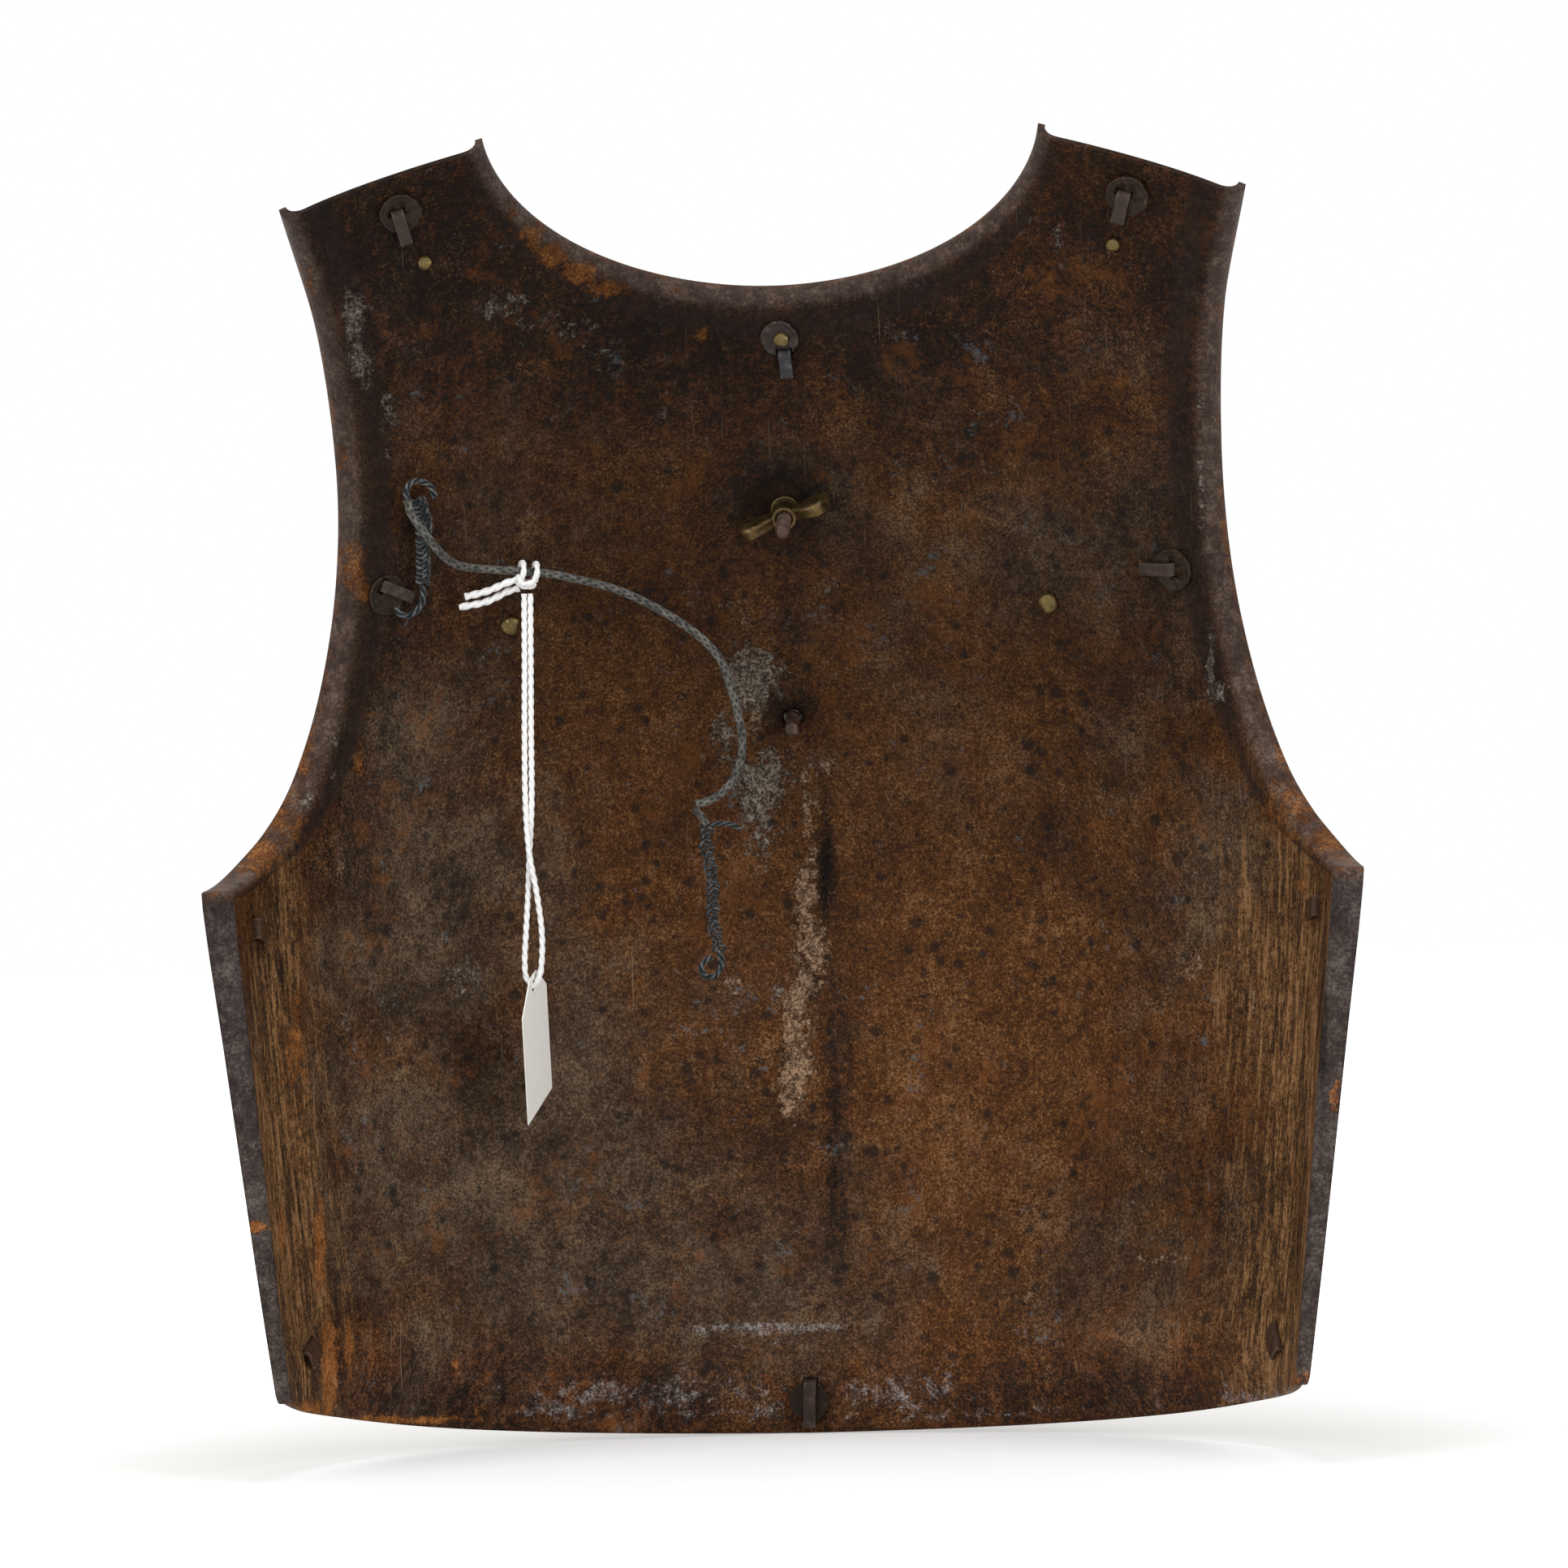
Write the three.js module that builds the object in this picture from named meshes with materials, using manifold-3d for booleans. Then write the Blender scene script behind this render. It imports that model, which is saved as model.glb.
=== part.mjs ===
// Breastplate of a cuirass, shown from its inside. Millimetres, +Z up, +X to the right as the photograph
// shows it, and +Y away from the wearer, so the inside faces -Y and the front faces +Y.
import * as THREE from 'three';
import { mergeVertices } from 'three/addons/utils/BufferGeometryUtils.js';
import Module from 'manifold-3d';

const wasm = await Module();
wasm.setup();

// Driving sizes of the forged iron plate
const plateHeight = 432;
const plateHalfWidth = 175.6;
const plateDepth = 125;
const plateThickness = 2.4;
const gap = 0.3;
const overrun = 3;
const weldReach = 0.0001;
const roundSides = 20;
const smallSides = 16;

// Section of the plate, as shares of its height, depth and half width, from the bottom up
const centreLineShares = [[0, -0.048], [0.088, 0.005], [0.139, 0.048], [0.208, 0.096], [0.278, 0.124],
  [0.347, 0.132], [0.463, 0.104], [0.569, 0.03], [0.718, -0.144], [0.81, -0.284], [0.912, -0.478],
  [0.995, -0.688], [1.065, -0.904]];
const sideDropShares = [[0.435, 1.089], [0.579, 1.064], [0.694, 1.016], [0.787, 0.896], [0.88, 0.672],
  [0.949, 0.52], [1.065, 0.4]];
const halfWidthShares = [[0, 0.898], [0.139, 0.933], [0.31, 0.972], [0.435, 1], [0.579, 1.018],
  [1.065, 1.035]];
const roundPower = 2.1;
const flangeTaperPower = 1.3;
const normalStepShare = 0.004;

// Medial ridge, waist crease and bottom flange
const ridgeHeight = 3;
const ridgeHalfWidth = 75;
const bottomRise = 25;
const bottomTrim = 0.4;
const flangeHeight = 36.6;
const flangeTaperShare = 0.75;
const flangeFlare = 12;

// Side flanges, which turn outward, and the rolled neck and armhole edges
const cornerHeight = 188;
const sideFlangeTop = 10;
const sideFlangeBottom = 4.4;
const sideBend = 2.8;
const bottomCorner = 5;
const leastBend = 0.3;
const rollRadius = 7;
const armholeLip = 1.5;
const neckLip = 1;
const rollBlend = 16;

// Armhole line as shares of half width and height, from the side corner up
const armholeShares = [[0.435, 1], [0.447, 0.974], [0.47, 0.925], [0.514, 0.872], [0.588, 0.817],
  [0.671, 0.781], [0.759, 0.77], [0.861, 0.788], [0.947, 0.838], [0.99, 0.866], [1.03, 0.89]];
const armholeEndShare = 0.985;
const armholeSteps = 60;
const neckHalfWidth = 96.5;
const neckDepth = 56;
const neckTrim = 0.4;
const neckHeight = plateHeight - neckDepth - neckTrim;
const neckRoundShare = 0.84;
const shoulderSpare = 16;
const shoulderLean = 0.4;
const shoulderShift = -2.6;
const shoulderShiftShares = [[0, 0], [0.7, 0], [0.96, 1], [1.1, 1]];
const shoulderInnerDrop = 5.5;
const shoulderOuterDrop = 22.5;
const shoulderInnerHeight = plateHeight - shoulderInnerDrop;
const shoulderOuterHeight = plateHeight - shoulderOuterDrop;
const shoulderCutReach = 90;

// Grid of the plate: columns on each side of the middle, rows below and above the side corner
const columnCount = 15;
const leanPower = 9;
const edgeColumnShare = 0.968;
const neckColumnCount = 11;
const flangeRowShares = [0, 0.14, 0.57];
const lowerRowCount = 8;
const upperRowCount = 12;
const cornerRowShare = 0.33;
const edgeRowShare = 0.985;
const rollSteps = 4;

// Facing sheet and the seats of what lies on the curved plate
const facingThickness = 0.9;
const facingShoulderMargin = 6;
const probeReach = 12;
const footprintCount = 24;

// Tangs of the facing: the place of the slot, the angle at which the tang is folded over, its width and
// reach as shares of those below, and the round keeper under it, whose middle lies along and aside from
// the slot by shares of its radius
const tangWidth = 4.2;
const tangReach = 13;
const sideTangWidth = 11;
const sideTangReach = 6.5;
const tangThickness = 1.6;
const keeperRadius = 6.8;
const keeperThickness = 1;
const neckTangDrop = 10.5;
const shoulderTangRise = 1.3;
const heightAt = (share) => plateHeight * share;
const tangs = [
  { name: 'neck', xShare: 0.0116, z: neckHeight - neckTangDrop, angle: -85, widthShare: 1,
    reachShare: 0.75, keeperShare: 0.91, alongShare: -0.65, asideShare: -0.18 },
  { name: 'shoulder_left', xShare: -0.694, z: shoulderOuterHeight + shoulderTangRise, angle: -79,
    widthShare: 1, reachShare: 0.96, keeperShare: 1, alongShare: 0.26, asideShare: 0.15 },
  { name: 'shoulder_right', xShare: 0.659, z: shoulderOuterHeight + shoulderTangRise, angle: -102,
    widthShare: 1.07, reachShare: 0.88, keeperShare: 1.03, alongShare: 0.22, asideShare: 0.15 },
  { name: 'armhole_left', xShare: -0.761, z: heightAt(0.67), angle: -28,
    widthShare: 0.95, reachShare: 1, keeperShare: 1, alongShare: 0.54, asideShare: -0.35 },
  { name: 'armhole_right', xShare: 0.742, z: heightAt(0.668), angle: 186,
    widthShare: 1.05, reachShare: 1.02, keeperShare: 1.03, alongShare: 0.18, asideShare: 0.04 },
  { name: 'bottom', xShare: 0.0064, z: heightAt(0.0436), angle: -92,
    widthShare: 1, reachShare: 1.23, keeperShare: 1, alongShare: 1.015, asideShare: -0.06 },
  { name: 'side_upper_left', xShare: -0.981, z: heightAt(0.411), angle: 8,
    sideWidthShare: 0.64, sideReachShare: 1.38 },
  { name: 'side_upper_right', xShare: 0.983, z: heightAt(0.411), angle: 172,
    sideWidthShare: 0.64, sideReachShare: 1.38 },
  { name: 'side_lower_left', xShare: -0.901, z: heightAt(0.097), angle: -44,
    sideWidthShare: 1, sideReachShare: 1 },
  { name: 'side_lower_right', xShare: 0.893, z: heightAt(0.0896), angle: 203,
    sideWidthShare: 1.05, sideReachShare: 1 },
].map((tang) => ({ ...tang,
  width: tang.widthShare ? tangWidth * tang.widthShare : sideTangWidth * tang.sideWidthShare,
  reach: tang.reachShare ? tangReach * tang.reachShare : sideTangReach * tang.sideReachShare,
  keeperRadius: tang.keeperShare ? keeperRadius * tang.keeperShare : 0 }));

// Brass rivets: the end on the inside, the shank, and the head on the front. The two strap studs have a
// neck between the facing and their broad heads.
const strapStudEndRadius = 3.5;
const strapStudShank = 2.3;
const strapStudNeck = 3.1;
const strapStudNeckLength = 6;
const strapStudHeadRadius = 7.6;
const strapStudHeadHeight = 4.6;
const rivetEndRadius = 2.5;
const rivetShank = 1.4;
const rivetHeadRadius = 3.6;
const rivetHeadHeight = 1.9;
const neckRivetDrop = 7.1;
const shoulderRivetDrop = 15.7;
const studKind = { endRadius: strapStudEndRadius, shank: strapStudShank, neck: strapStudNeck,
  neckLength: strapStudNeckLength, headRadius: strapStudHeadRadius, headHeight: strapStudHeadHeight };
const rivetKind = { endRadius: rivetEndRadius, shank: rivetShank, neck: 0, neckLength: 0,
  headRadius: rivetHeadRadius, headHeight: rivetHeadHeight };
const rivets = [
  { name: 'strap_stud_left', xShare: -0.528, z: heightAt(0.638), ...studKind },
  { name: 'strap_stud_right', xShare: 0.498, z: heightAt(0.645), ...studKind },
  { name: 'shoulder_rivet_left', xShare: -0.649, z: shoulderOuterHeight - shoulderRivetDrop, ...rivetKind },
  { name: 'shoulder_rivet_right', xShare: 0.634, z: shoulderOuterHeight - shoulderRivetDrop, ...rivetKind },
  { name: 'neck_rivet', xShare: 0.0064, z: neckHeight - neckRivetDrop, ...rivetKind, keeper: 'neck' },
];
const rivetEndHeight = 1.3;
const endCrownShare = 0.8;
const endRimShare = 0.7;
const headRimShare = 0.25;
const headCrownShare = 0.8;
const headCrownWidthShare = 0.6;

// Plaque on the front, its centre boss, its stud with the wing nut, and its locating peg
const plaqueHeightShare = 0.641;
const plaqueHalfHeight = 76;
const plaqueHalfWidth = 64;
const plaqueSeat = 0.5;
const plaqueThickness = 1.5;
const rayRelief = 1.4;
const rayRingShares = [0.4, 0.68];
const rayCount = 16;
const rayShares = [1, 0.86, 0.93, 0.86];
const bossHalfHeight = 30;
const bossHalfWidth = 25;
const bossRim = 1.5;
const bossDome = 6;
const bossSides = 28;
const bossShares = [[1, 0], [0.9, 0.12], [0.84, 0.42], [0.55, 0.85], [0.25, 0.98]];
const studHeightShare = 0.724;
const studRadius = 2.5;
const studTipShare = 0.7;
const studReach = 26;
const collarRadius = 4.8;
const collarThickness = 1.4;
const hubRadius = 4.4;
const hubHeight = 9;
const hubTaperShare = 0.86;
const wingRootShare = 0.5;
const wingReach = 16;
const wingHeight = 12.5;
const wingThickness = 3;
const wingRise = 2.75;
const wingAngle = 20;
const wingSides = 14;
const wingRings = 8;
const pegHeightShare = 0.5615;
const pegRadius = 2.3;
const pegReach = 15;
const pegHoleRadius = 3.1;

// Dark cord: radii of its plain and its chain-stitched stretches, and the route of each stretch
const cordRadius = 1.4;
const tieRadius = 1.1;
const lowerChainRadius = 2.2;
const upperChainRadius = 2.5;
const shortEndRadius = 0.9;
const tailRadius = 1.9;
const tubeSideCount = 8;
const cordStepShare = 5;
const loopStepShare = 2.5;
const tiePoints = [[-128.2, -48.2, 281.9], [-127.4, -47.8, 279.9], [-124.6, -46.6, 279], [-121.2, -46, 281.2],
  [-119.6, -46, 284.4], [-119.4, -46.7, 288.8]];
const lowerChainPoints = [[-119.4, -46.9, 289.3], [-119.1, -48.3, 293.9], [-118.8, -49.4, 298.4],
  [-118.8, -50.7, 304.2]];
const upperChainPoints = [[-118.7, -50.8, 304.8], [-118, -51.3, 308.5], [-118.8, -52.8, 312.9],
  [-119.8, -54.4, 317.4]];
const hookPoints = [[-122.9, -59, 317.5], [-123, -58.8, 320.4], [-121, -57.8, 322.8], [-118, -56.4, 322.9],
  [-115.2, -54.6, 321], [-114.4, -53.6, 318.4]];
const cordPoints = [[-122.8, -58.9, 317], [-122, -58.3, 313], [-119.9, -57, 309.2], [-117.1, -55.3, 305.1],
  [-114.4, -52.8, 301.3], [-111.6, -49.9, 298], [-107.8, -46.9, 295.4], [-102.3, -44.4, 294.3],
  [-95.4, -41.6, 293.7], [-87.4, -38.2, 293.1], [-79.8, -35.8, 292.4], [-69.8, -32.5, 290.3],
  [-59.7, -30.2, 287.6], [-51.5, -27.9, 284.4], [-43.6, -25.4, 280.2], [-35.7, -22.8, 275.2],
  [-27.7, -19.7, 268.7], [-22.7, -17.1, 262.2], [-19.6, -13.9, 252.9], [-17.4, -11, 243],
  [-16.4, -9.2, 236.4], [-16.9, -7.8, 230.4], [-18.8, -6.7, 224.7], [-21.8, -6, 219.9],
  [-25.6, -5.8, 216.8], [-29.6, -5.8, 214.9], [-32.9, -6, 214.3]];
const foldPoints = [[-32.3, -5.8, 211.5], [-31.2, -5.4, 210.3], [-30.2, -5, 208.8]];
const shortEndPoints = [[-26.4, -4.3, 207.4], [-24, -4.1, 207.6], [-21, -2.9, 207.1], [-19.3, -2, 206.2]];
const tailPoints = [[-29.2, -4.5, 207], [-29.9, -4, 201.6], [-28.8, -3.6, 195.6], [-27.6, -3.8, 187],
  [-27.8, -4.3, 180.5], [-27.6, -4.5, 174.3], [-26.9, -4.5, 169.2], [-26.1, -4.3, 164.6]];
const endLoopPoints = [[-25.9, -4.2, 164.1], [-25.5, -4, 159.6], [-28.2, -4.1, 155.9], [-31.6, -4.5, 156.8],
  [-32.1, -4.7, 160], [-29.3, -4.5, 162.3]];

// White string: its hitch on the cord, its two cut ends, and the loop that carries the tag
const stringRadius = 0.85;
const hitchPlace = [-85, -37.4, 292.9];
const hitchTurn = 0.3;
const hitchDip = 0.09;
const hitchRadius = 3.6;
const hitchLength = 6.6;
const hitchKnotRadius = 2.6;
const hitchKnotDrop = 4;
const knotSides = 12;
const knotRings = 8;
const upperEndPoints = [[-88.3, -38.8, 290.4], [-92, -39.4, 289.4], [-98.5, -39.6, 286.8],
  [-106.2, -39, 285]];
const lowerEndPoints = [[-88.2, -37.4, 287.6], [-92, -37.2, 286.6], [-99, -37, 283.4],
  [-108.4, -37.4, 281.6]];
const stringPoints = [[-86.6, -38, 285.6], [-87, -38, 262], [-87.5, -38, 240], [-87.7, -38.2, 215],
  [-86.7, -39.4, 199], [-84.6, -38.8, 186], [-83.2, -38.4, 172.6], [-83.5, -38.4, 163], [-84.4, -38.4, 158],
  [-86.6, -38, 155.2], [-88.8, -37.6, 158], [-89.2, -37.6, 163], [-88.6, -37.6, 172.6],
  [-87.6, -37.2, 186], [-86.9, -36.6, 199], [-85.7, -37.8, 215], [-85.3, -38, 240], [-84.9, -38, 262],
  [-84.5, -38, 285.6]];

// Paper tag: a ticket with its two top corners cut off, turned and leaning as it hangs
const tagPlace = [-86.5, -38, 155.2];
const tagLength = 48;
const tagWidth = 30;
const tagThickness = 0.4;
const tagTopShare = 0.28;
const tagShoulderShare = 0.2;
const tagHoleRadius = 2.2;
const tagHoleDrop = 3.9;
const tagTurn = 78.6;
const tagLean = 22;

const smooth = (q) => q * q * (3 - 2 * q);
const clamp = (q, low, high) => Math.min(Math.max(q, low), high);

// Smooth curve through a table of [position, value]
function along(table, where) {
  const last = table.length - 1;
  const t = clamp(where, table[0][0], table[last][0]);
  let i = 0;
  while (i < last - 1 && t > table[i + 1][0]) i += 1;
  const slope = (k) => {
    const a = table[Math.max(k - 1, 0)];
    const b = table[Math.min(k + 1, last)];
    return (b[1] - a[1]) / (b[0] - a[0]);
  };
  const width = table[i + 1][0] - table[i][0];
  const q = (t - table[i][0]) / width;
  return (1 - smooth(q)) * table[i][1] + smooth(q) * table[i + 1][1]
    + (q ** 3 - 2 * q ** 2 + q) * width * slope(i) + (q ** 3 - q ** 2) * width * slope(i + 1);
}

// The bare surface: turn is -1 at the left side, 0 at the middle and 1 at the right side
const cornerShare = cornerHeight / plateHeight;
const across = (turn) => Math.sin(Math.abs(turn) * Math.PI / 2) ** (2 / roundPower);
const fallBack = (turn) => 1 - Math.max(Math.cos(Math.abs(turn) * Math.PI / 2), 0) ** (2 / roundPower);
const levelAt = (z) => plateDepth * along(centreLineShares, z / plateHeight);
const halfWidthAt = (z) => plateHalfWidth * along(halfWidthShares, z / plateHeight);
const bottomAt = (turn) => bottomRise * fallBack(turn);
const flangeAt = (turn) => flangeHeight * (1 - flangeTaperShare * Math.abs(turn) ** flangeTaperPower);
const creaseAt = (turn) => bottomAt(turn) + flangeAt(turn);

function sideDropAt(z) {
  if (z / plateHeight < cornerShare) return levelAt(z) + plateDepth - sideBend;
  const start = levelAt(cornerHeight) + plateDepth - sideBend;
  return start * along(sideDropShares, z / plateHeight) / along(sideDropShares, cornerShare);
}

function surfaceAt(turn, z) {
  const wide = halfWidthAt(z) * across(turn);
  const shift = shoulderShift * along(shoulderShiftShares, z / plateHeight);
  let y = levelAt(z) - sideDropAt(z) * fallBack(turn);
  if (wide < ridgeHalfWidth) y += ridgeHeight * (1 - wide / ridgeHalfWidth) ** 2;
  const below = 1 - (z - bottomAt(turn)) / (creaseAt(turn) - bottomAt(turn));
  if (below > 0) y += flangeFlare * below * (1 - Math.abs(turn) ** 4);
  return new THREE.Vector3(Math.sign(turn) * wide + shift, y, z);
}

function turnAt(x, z) {
  const share = clamp(Math.abs(x) / halfWidthAt(z), 0, 1);
  return Math.sign(x) * Math.asin(share ** (roundPower / 2)) / (Math.PI / 2);
}

// Normal that points away from the wearer
function normalAt(turn, z) {
  const rise = plateHeight * normalStepShare / 4;
  const a = surfaceAt(clamp(turn + normalStepShare, -1, 1), z)
    .sub(surfaceAt(clamp(turn - normalStepShare, -1, 1), z));
  const b = surfaceAt(turn, z + rise).sub(surfaceAt(turn, z - rise));
  return b.cross(a).normalize();
}

// Outline of the plate before its edges turn: each gives [turn, z]. The armhole is walked in even steps
// along the surface.
const armhole = [];
for (let k = 0, length = 0; k <= armholeSteps; k += 1) {
  const z = cornerHeight + (armholeEndShare * plateHeight - cornerHeight) * (k / armholeSteps) ** 2;
  const turn = k === 0 ? 1 : turnAt(plateHalfWidth * along(armholeShares, z / plateHeight), z);
  const point = surfaceAt(turn, z);
  if (k > 0) length += point.distanceTo(armhole[k - 1].point);
  armhole.push({ turn, z, point, length });
}

function sideLine(share, side) {
  if (share < 0) return [side, creaseAt(1) + (cornerHeight - creaseAt(1)) * (1 + share)];
  const length = share * armhole[armholeSteps].length;
  const k = clamp(armhole.findIndex((step) => step.length >= length), 1, armholeSteps);
  const [a, b] = [armhole[k - 1], armhole[k]];
  const q = (length - a.length) / (b.length - a.length);
  return [side * (a.turn + (b.turn - a.turn) * q), a.z + (b.z - a.z) * q];
}

function neckLine(share, side) {
  const angle = -Math.PI / 2 * (1 - Math.min(share / neckRoundShare, 1));
  const spare = Math.max(share - neckRoundShare, 0) / (1 - neckRoundShare) * shoulderSpare;
  const x = neckHalfWidth * Math.cos(angle) + spare * shoulderLean;
  const z = neckHeight + neckDepth * (1 + Math.sin(angle)) + spare;
  return [side * Math.abs(turnAt(x, z)), z];
}

function topLine(share, side) {
  const neckShare = neckColumnCount / columnCount;
  if (share <= neckShare) return neckLine(share / neckShare, side);
  const a = neckLine(1, side);
  const b = sideLine(1, side);
  const q = (share - neckShare) / (1 - neckShare);
  return [a[0] + (b[0] - a[0]) * q, a[1] + (b[1] - a[1]) * q];
}

// Place on the plate for a column share from 0 at the middle to 1 at the side, and a row share from the
// crease, -1, over the side corner, 0, to the top, 1
function patchAt(column, row, side) {
  const rowShare = cornerRowShare + row * (row < 0 ? cornerRowShare : 1 - cornerRowShare);
  const edge = sideLine(row, side);
  const high = topLine(column, side);
  const corner = topLine(1, side);
  const lean = rowShare ** leanPower;
  const turn = edge[0] * (column * (1 - lean) + high[0] / corner[0] * lean);
  const level = creaseAt(column) * (1 - rowShare) + high[1] * rowShare;
  const edgeExtra = edge[1] - creaseAt(1) * (1 - rowShare) - corner[1] * rowShare;
  return [turn, level + edgeExtra * column];
}

const evenShares = (count) => [...Array(count).keys()].map((i) => i / count);
const columnShares = [...evenShares(columnCount), edgeColumnShare, 1];
const rowShares = [...evenShares(lowerRowCount).map((share) => share - 1),
  ...evenShares(upperRowCount), edgeRowShare, 1];

function baseGrid() {
  const leftSide = columnShares.slice(1).reverse().map((column) => [column, -1]);
  const sides = [...leftSide, ...columnShares.map((column) => [column, 1])];
  const rows = flangeRowShares.map((share) => sides.map(([column, side]) => {
    const low = bottomAt(column);
    return [side * column, low + (creaseAt(column) - low) * share];
  }));
  for (const row of rowShares) rows.push(sides.map(([column, side]) => patchAt(column, row, side)));
  return rows;
}

// Inner and outer points of a sheet that lies on the bare surface
function layer(rows, inner, outer) {
  const place = (depth) => rows.map((row) => row.map(([turn, z]) => (
    surfaceAt(turn, z).addScaledVector(normalAt(turn, z), depth))));
  return { inner: place(inner), outer: place(outer) };
}

// Profile of a turned edge: [along the plate, away from the wearer] for the inner and the outer face
function turnedEdge(radius, lip) {
  const small = Math.max(radius - plateThickness, leastBend);
  const inner = [];
  const outer = [];
  for (let k = 1; k <= rollSteps; k += 1) {
    const angle = k / rollSteps * Math.PI / 2;
    inner.push([radius * Math.sin(angle), radius * (1 - Math.cos(angle))]);
    outer.push([radius - plateThickness - small * (1 - Math.sin(angle)),
      plateThickness + small * (1 - Math.cos(angle))]);
  }
  inner.push([radius, radius + lip]);
  outer.push([radius - plateThickness, Math.max(radius + lip, plateThickness + small + gap)]);
  return { inner, outer };
}

function edgePoints(line, k, edge, closedSide) {
  const here = surfaceAt(...line[k]);
  const ahead = surfaceAt(...line[Math.min(k + 1, line.length - 1)]);
  const behind = surfaceAt(...line[Math.max(k - 1, 0)]);
  const normal = normalAt(...line[k]);
  const run = ahead.sub(behind).normalize();
  const off = normal.clone().cross(run).multiplyScalar(closedSide).normalize();
  const place = ([t, n]) => here.clone().addScaledVector(off, t).addScaledVector(normal, n);
  return { inner: edge.inner.map(place), outer: edge.outer.map(place) };
}

// Radius and lip of the side edge: flange below the corner, roll above it, rounded at the bottom
function sideEdge(z) {
  const q = smooth(clamp((z - cornerHeight) / rollBlend, 0, 1));
  const up = clamp((z - bottomRise) / (cornerHeight - bottomRise), 0, 1);
  const round = Math.sqrt(1 - (1 - clamp((z - bottomRise) / bottomCorner, 0, 1)) ** 2);
  const flangeLip = (sideFlangeBottom + (sideFlangeTop - sideFlangeBottom) * up - sideBend) * round;
  return turnedEdge(sideBend + (rollRadius - sideBend) * q, flangeLip + (armholeLip - flangeLip) * q);
}

// Closed body between two grids of points with the same rows and columns
function sheet(inner, outer) {
  const rows = inner.length;
  const width = inner[0].length;
  const points = [...inner.flat(), ...outer.flat()];
  const index = [];
  const at = (i, j) => i * width + j;
  const far = rows * width;
  for (let i = 0; i < rows - 1; i += 1) {
    for (let j = 0; j < width - 1; j += 1) {
      const corners = [at(i, j), at(i, j + 1), at(i + 1, j + 1), at(i + 1, j)];
      if (j < (width - 1) / 2) corners.push(corners.shift());
      const [a, b, c, d] = corners;
      index.push(a, b, c, a, c, d, far + a, far + c, far + b, far + a, far + d, far + c);
    }
  }
  const loop = [];
  for (let j = 0; j < width - 1; j += 1) loop.push([at(0, j), at(0, j + 1)]);
  for (let i = 0; i < rows - 1; i += 1) loop.push([at(i, width - 1), at(i + 1, width - 1)]);
  for (let j = width - 1; j > 0; j -= 1) loop.push([at(rows - 1, j), at(rows - 1, j - 1)]);
  for (let i = rows - 1; i > 0; i -= 1) loop.push([at(i, 0), at(i - 1, 0)]);
  for (const [p, q] of loop) index.push(q, p, far + p, q, far + p, far + q);
  const geometry = new THREE.BufferGeometry();
  geometry.setAttribute('position', new THREE.Float32BufferAttribute(
    points.flatMap((p) => [p.x, p.y, p.z]), 3));
  geometry.setIndex(index);
  return geometry;
}

// Booleans
function clean(geometry) {
  const bare = geometry.clone();
  bare.deleteAttribute('normal');
  bare.deleteAttribute('uv');
  const merged = mergeVertices(bare, weldReach);
  const old = merged.index.array;
  const index = [];
  for (let i = 0; i < old.length; i += 3) {
    const [a, b, c] = [old[i], old[i + 1], old[i + 2]];
    if (a !== b && b !== c && c !== a) index.push(a, b, c);
  }
  const p = merged.attributes.position;
  let volume = 0;
  const [va, vb, vc] = [new THREE.Vector3(), new THREE.Vector3(), new THREE.Vector3()];
  for (let i = 0; i < index.length; i += 3) {
    va.fromBufferAttribute(p, index[i]);
    vb.fromBufferAttribute(p, index[i + 1]);
    vc.fromBufferAttribute(p, index[i + 2]);
    volume += va.dot(vb.cross(vc));
  }
  if (volume < 0) {
    for (let i = 0; i < index.length; i += 3) [index[i], index[i + 1]] = [index[i + 1], index[i]];
  }
  merged.setIndex(index);
  return merged;
}

function toManifold(geometry) {
  const closed = clean(geometry);
  return new wasm.Manifold(new wasm.Mesh({
    numProp: 3,
    vertProperties: new Float32Array(closed.attributes.position.array),
    triVerts: new Uint32Array(closed.index.array),
  }));
}

function fromManifold(body) {
  const mesh = body.getMesh();
  const geometry = new THREE.BufferGeometry();
  geometry.setAttribute('position', new THREE.Float32BufferAttribute(mesh.vertProperties, 3));
  geometry.setIndex(Array.from(mesh.triVerts));
  return geometry;
}

const cut = (geometry, tools) => fromManifold(
  tools.reduce((body, tool) => body.subtract(toManifold(tool)), toManifold(geometry)));

// Round bodies about the local z axis, from [radius, height] points
function turned(profile, segments) {
  const points = profile.map(([radius, height]) => new THREE.Vector2(radius, height));
  return new THREE.LatheGeometry(points, segments).rotateX(Math.PI / 2);
}

function rod(radius, from, to, segments) {
  return turned([[0, from], [radius, from], [radius, to], [0, to]], segments);
}

const group = new THREE.Group();

function add(name, geometry, material, matrix) {
  const mesh = new THREE.Mesh(clean(geometry), material);
  mesh.name = name;
  if (matrix) mesh.applyMatrix4(matrix);
  group.add(mesh);
}

const iron = new THREE.MeshStandardMaterial({ color: 0x3a2a20, roughness: 0.55, metalness: 0.7 });
const darkIron = new THREE.MeshStandardMaterial({ color: 0x2f2825, roughness: 0.5, metalness: 0.8 });
const facingBrass = new THREE.MeshStandardMaterial({ color: 0x9a7a3c, roughness: 0.4, metalness: 0.9 });
const oldBrass = new THREE.MeshStandardMaterial({ color: 0x6e5c32, roughness: 0.45, metalness: 0.85 });
const whiteMetal = new THREE.MeshStandardMaterial({ color: 0xa9a59c, roughness: 0.35, metalness: 0.9 });

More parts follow.
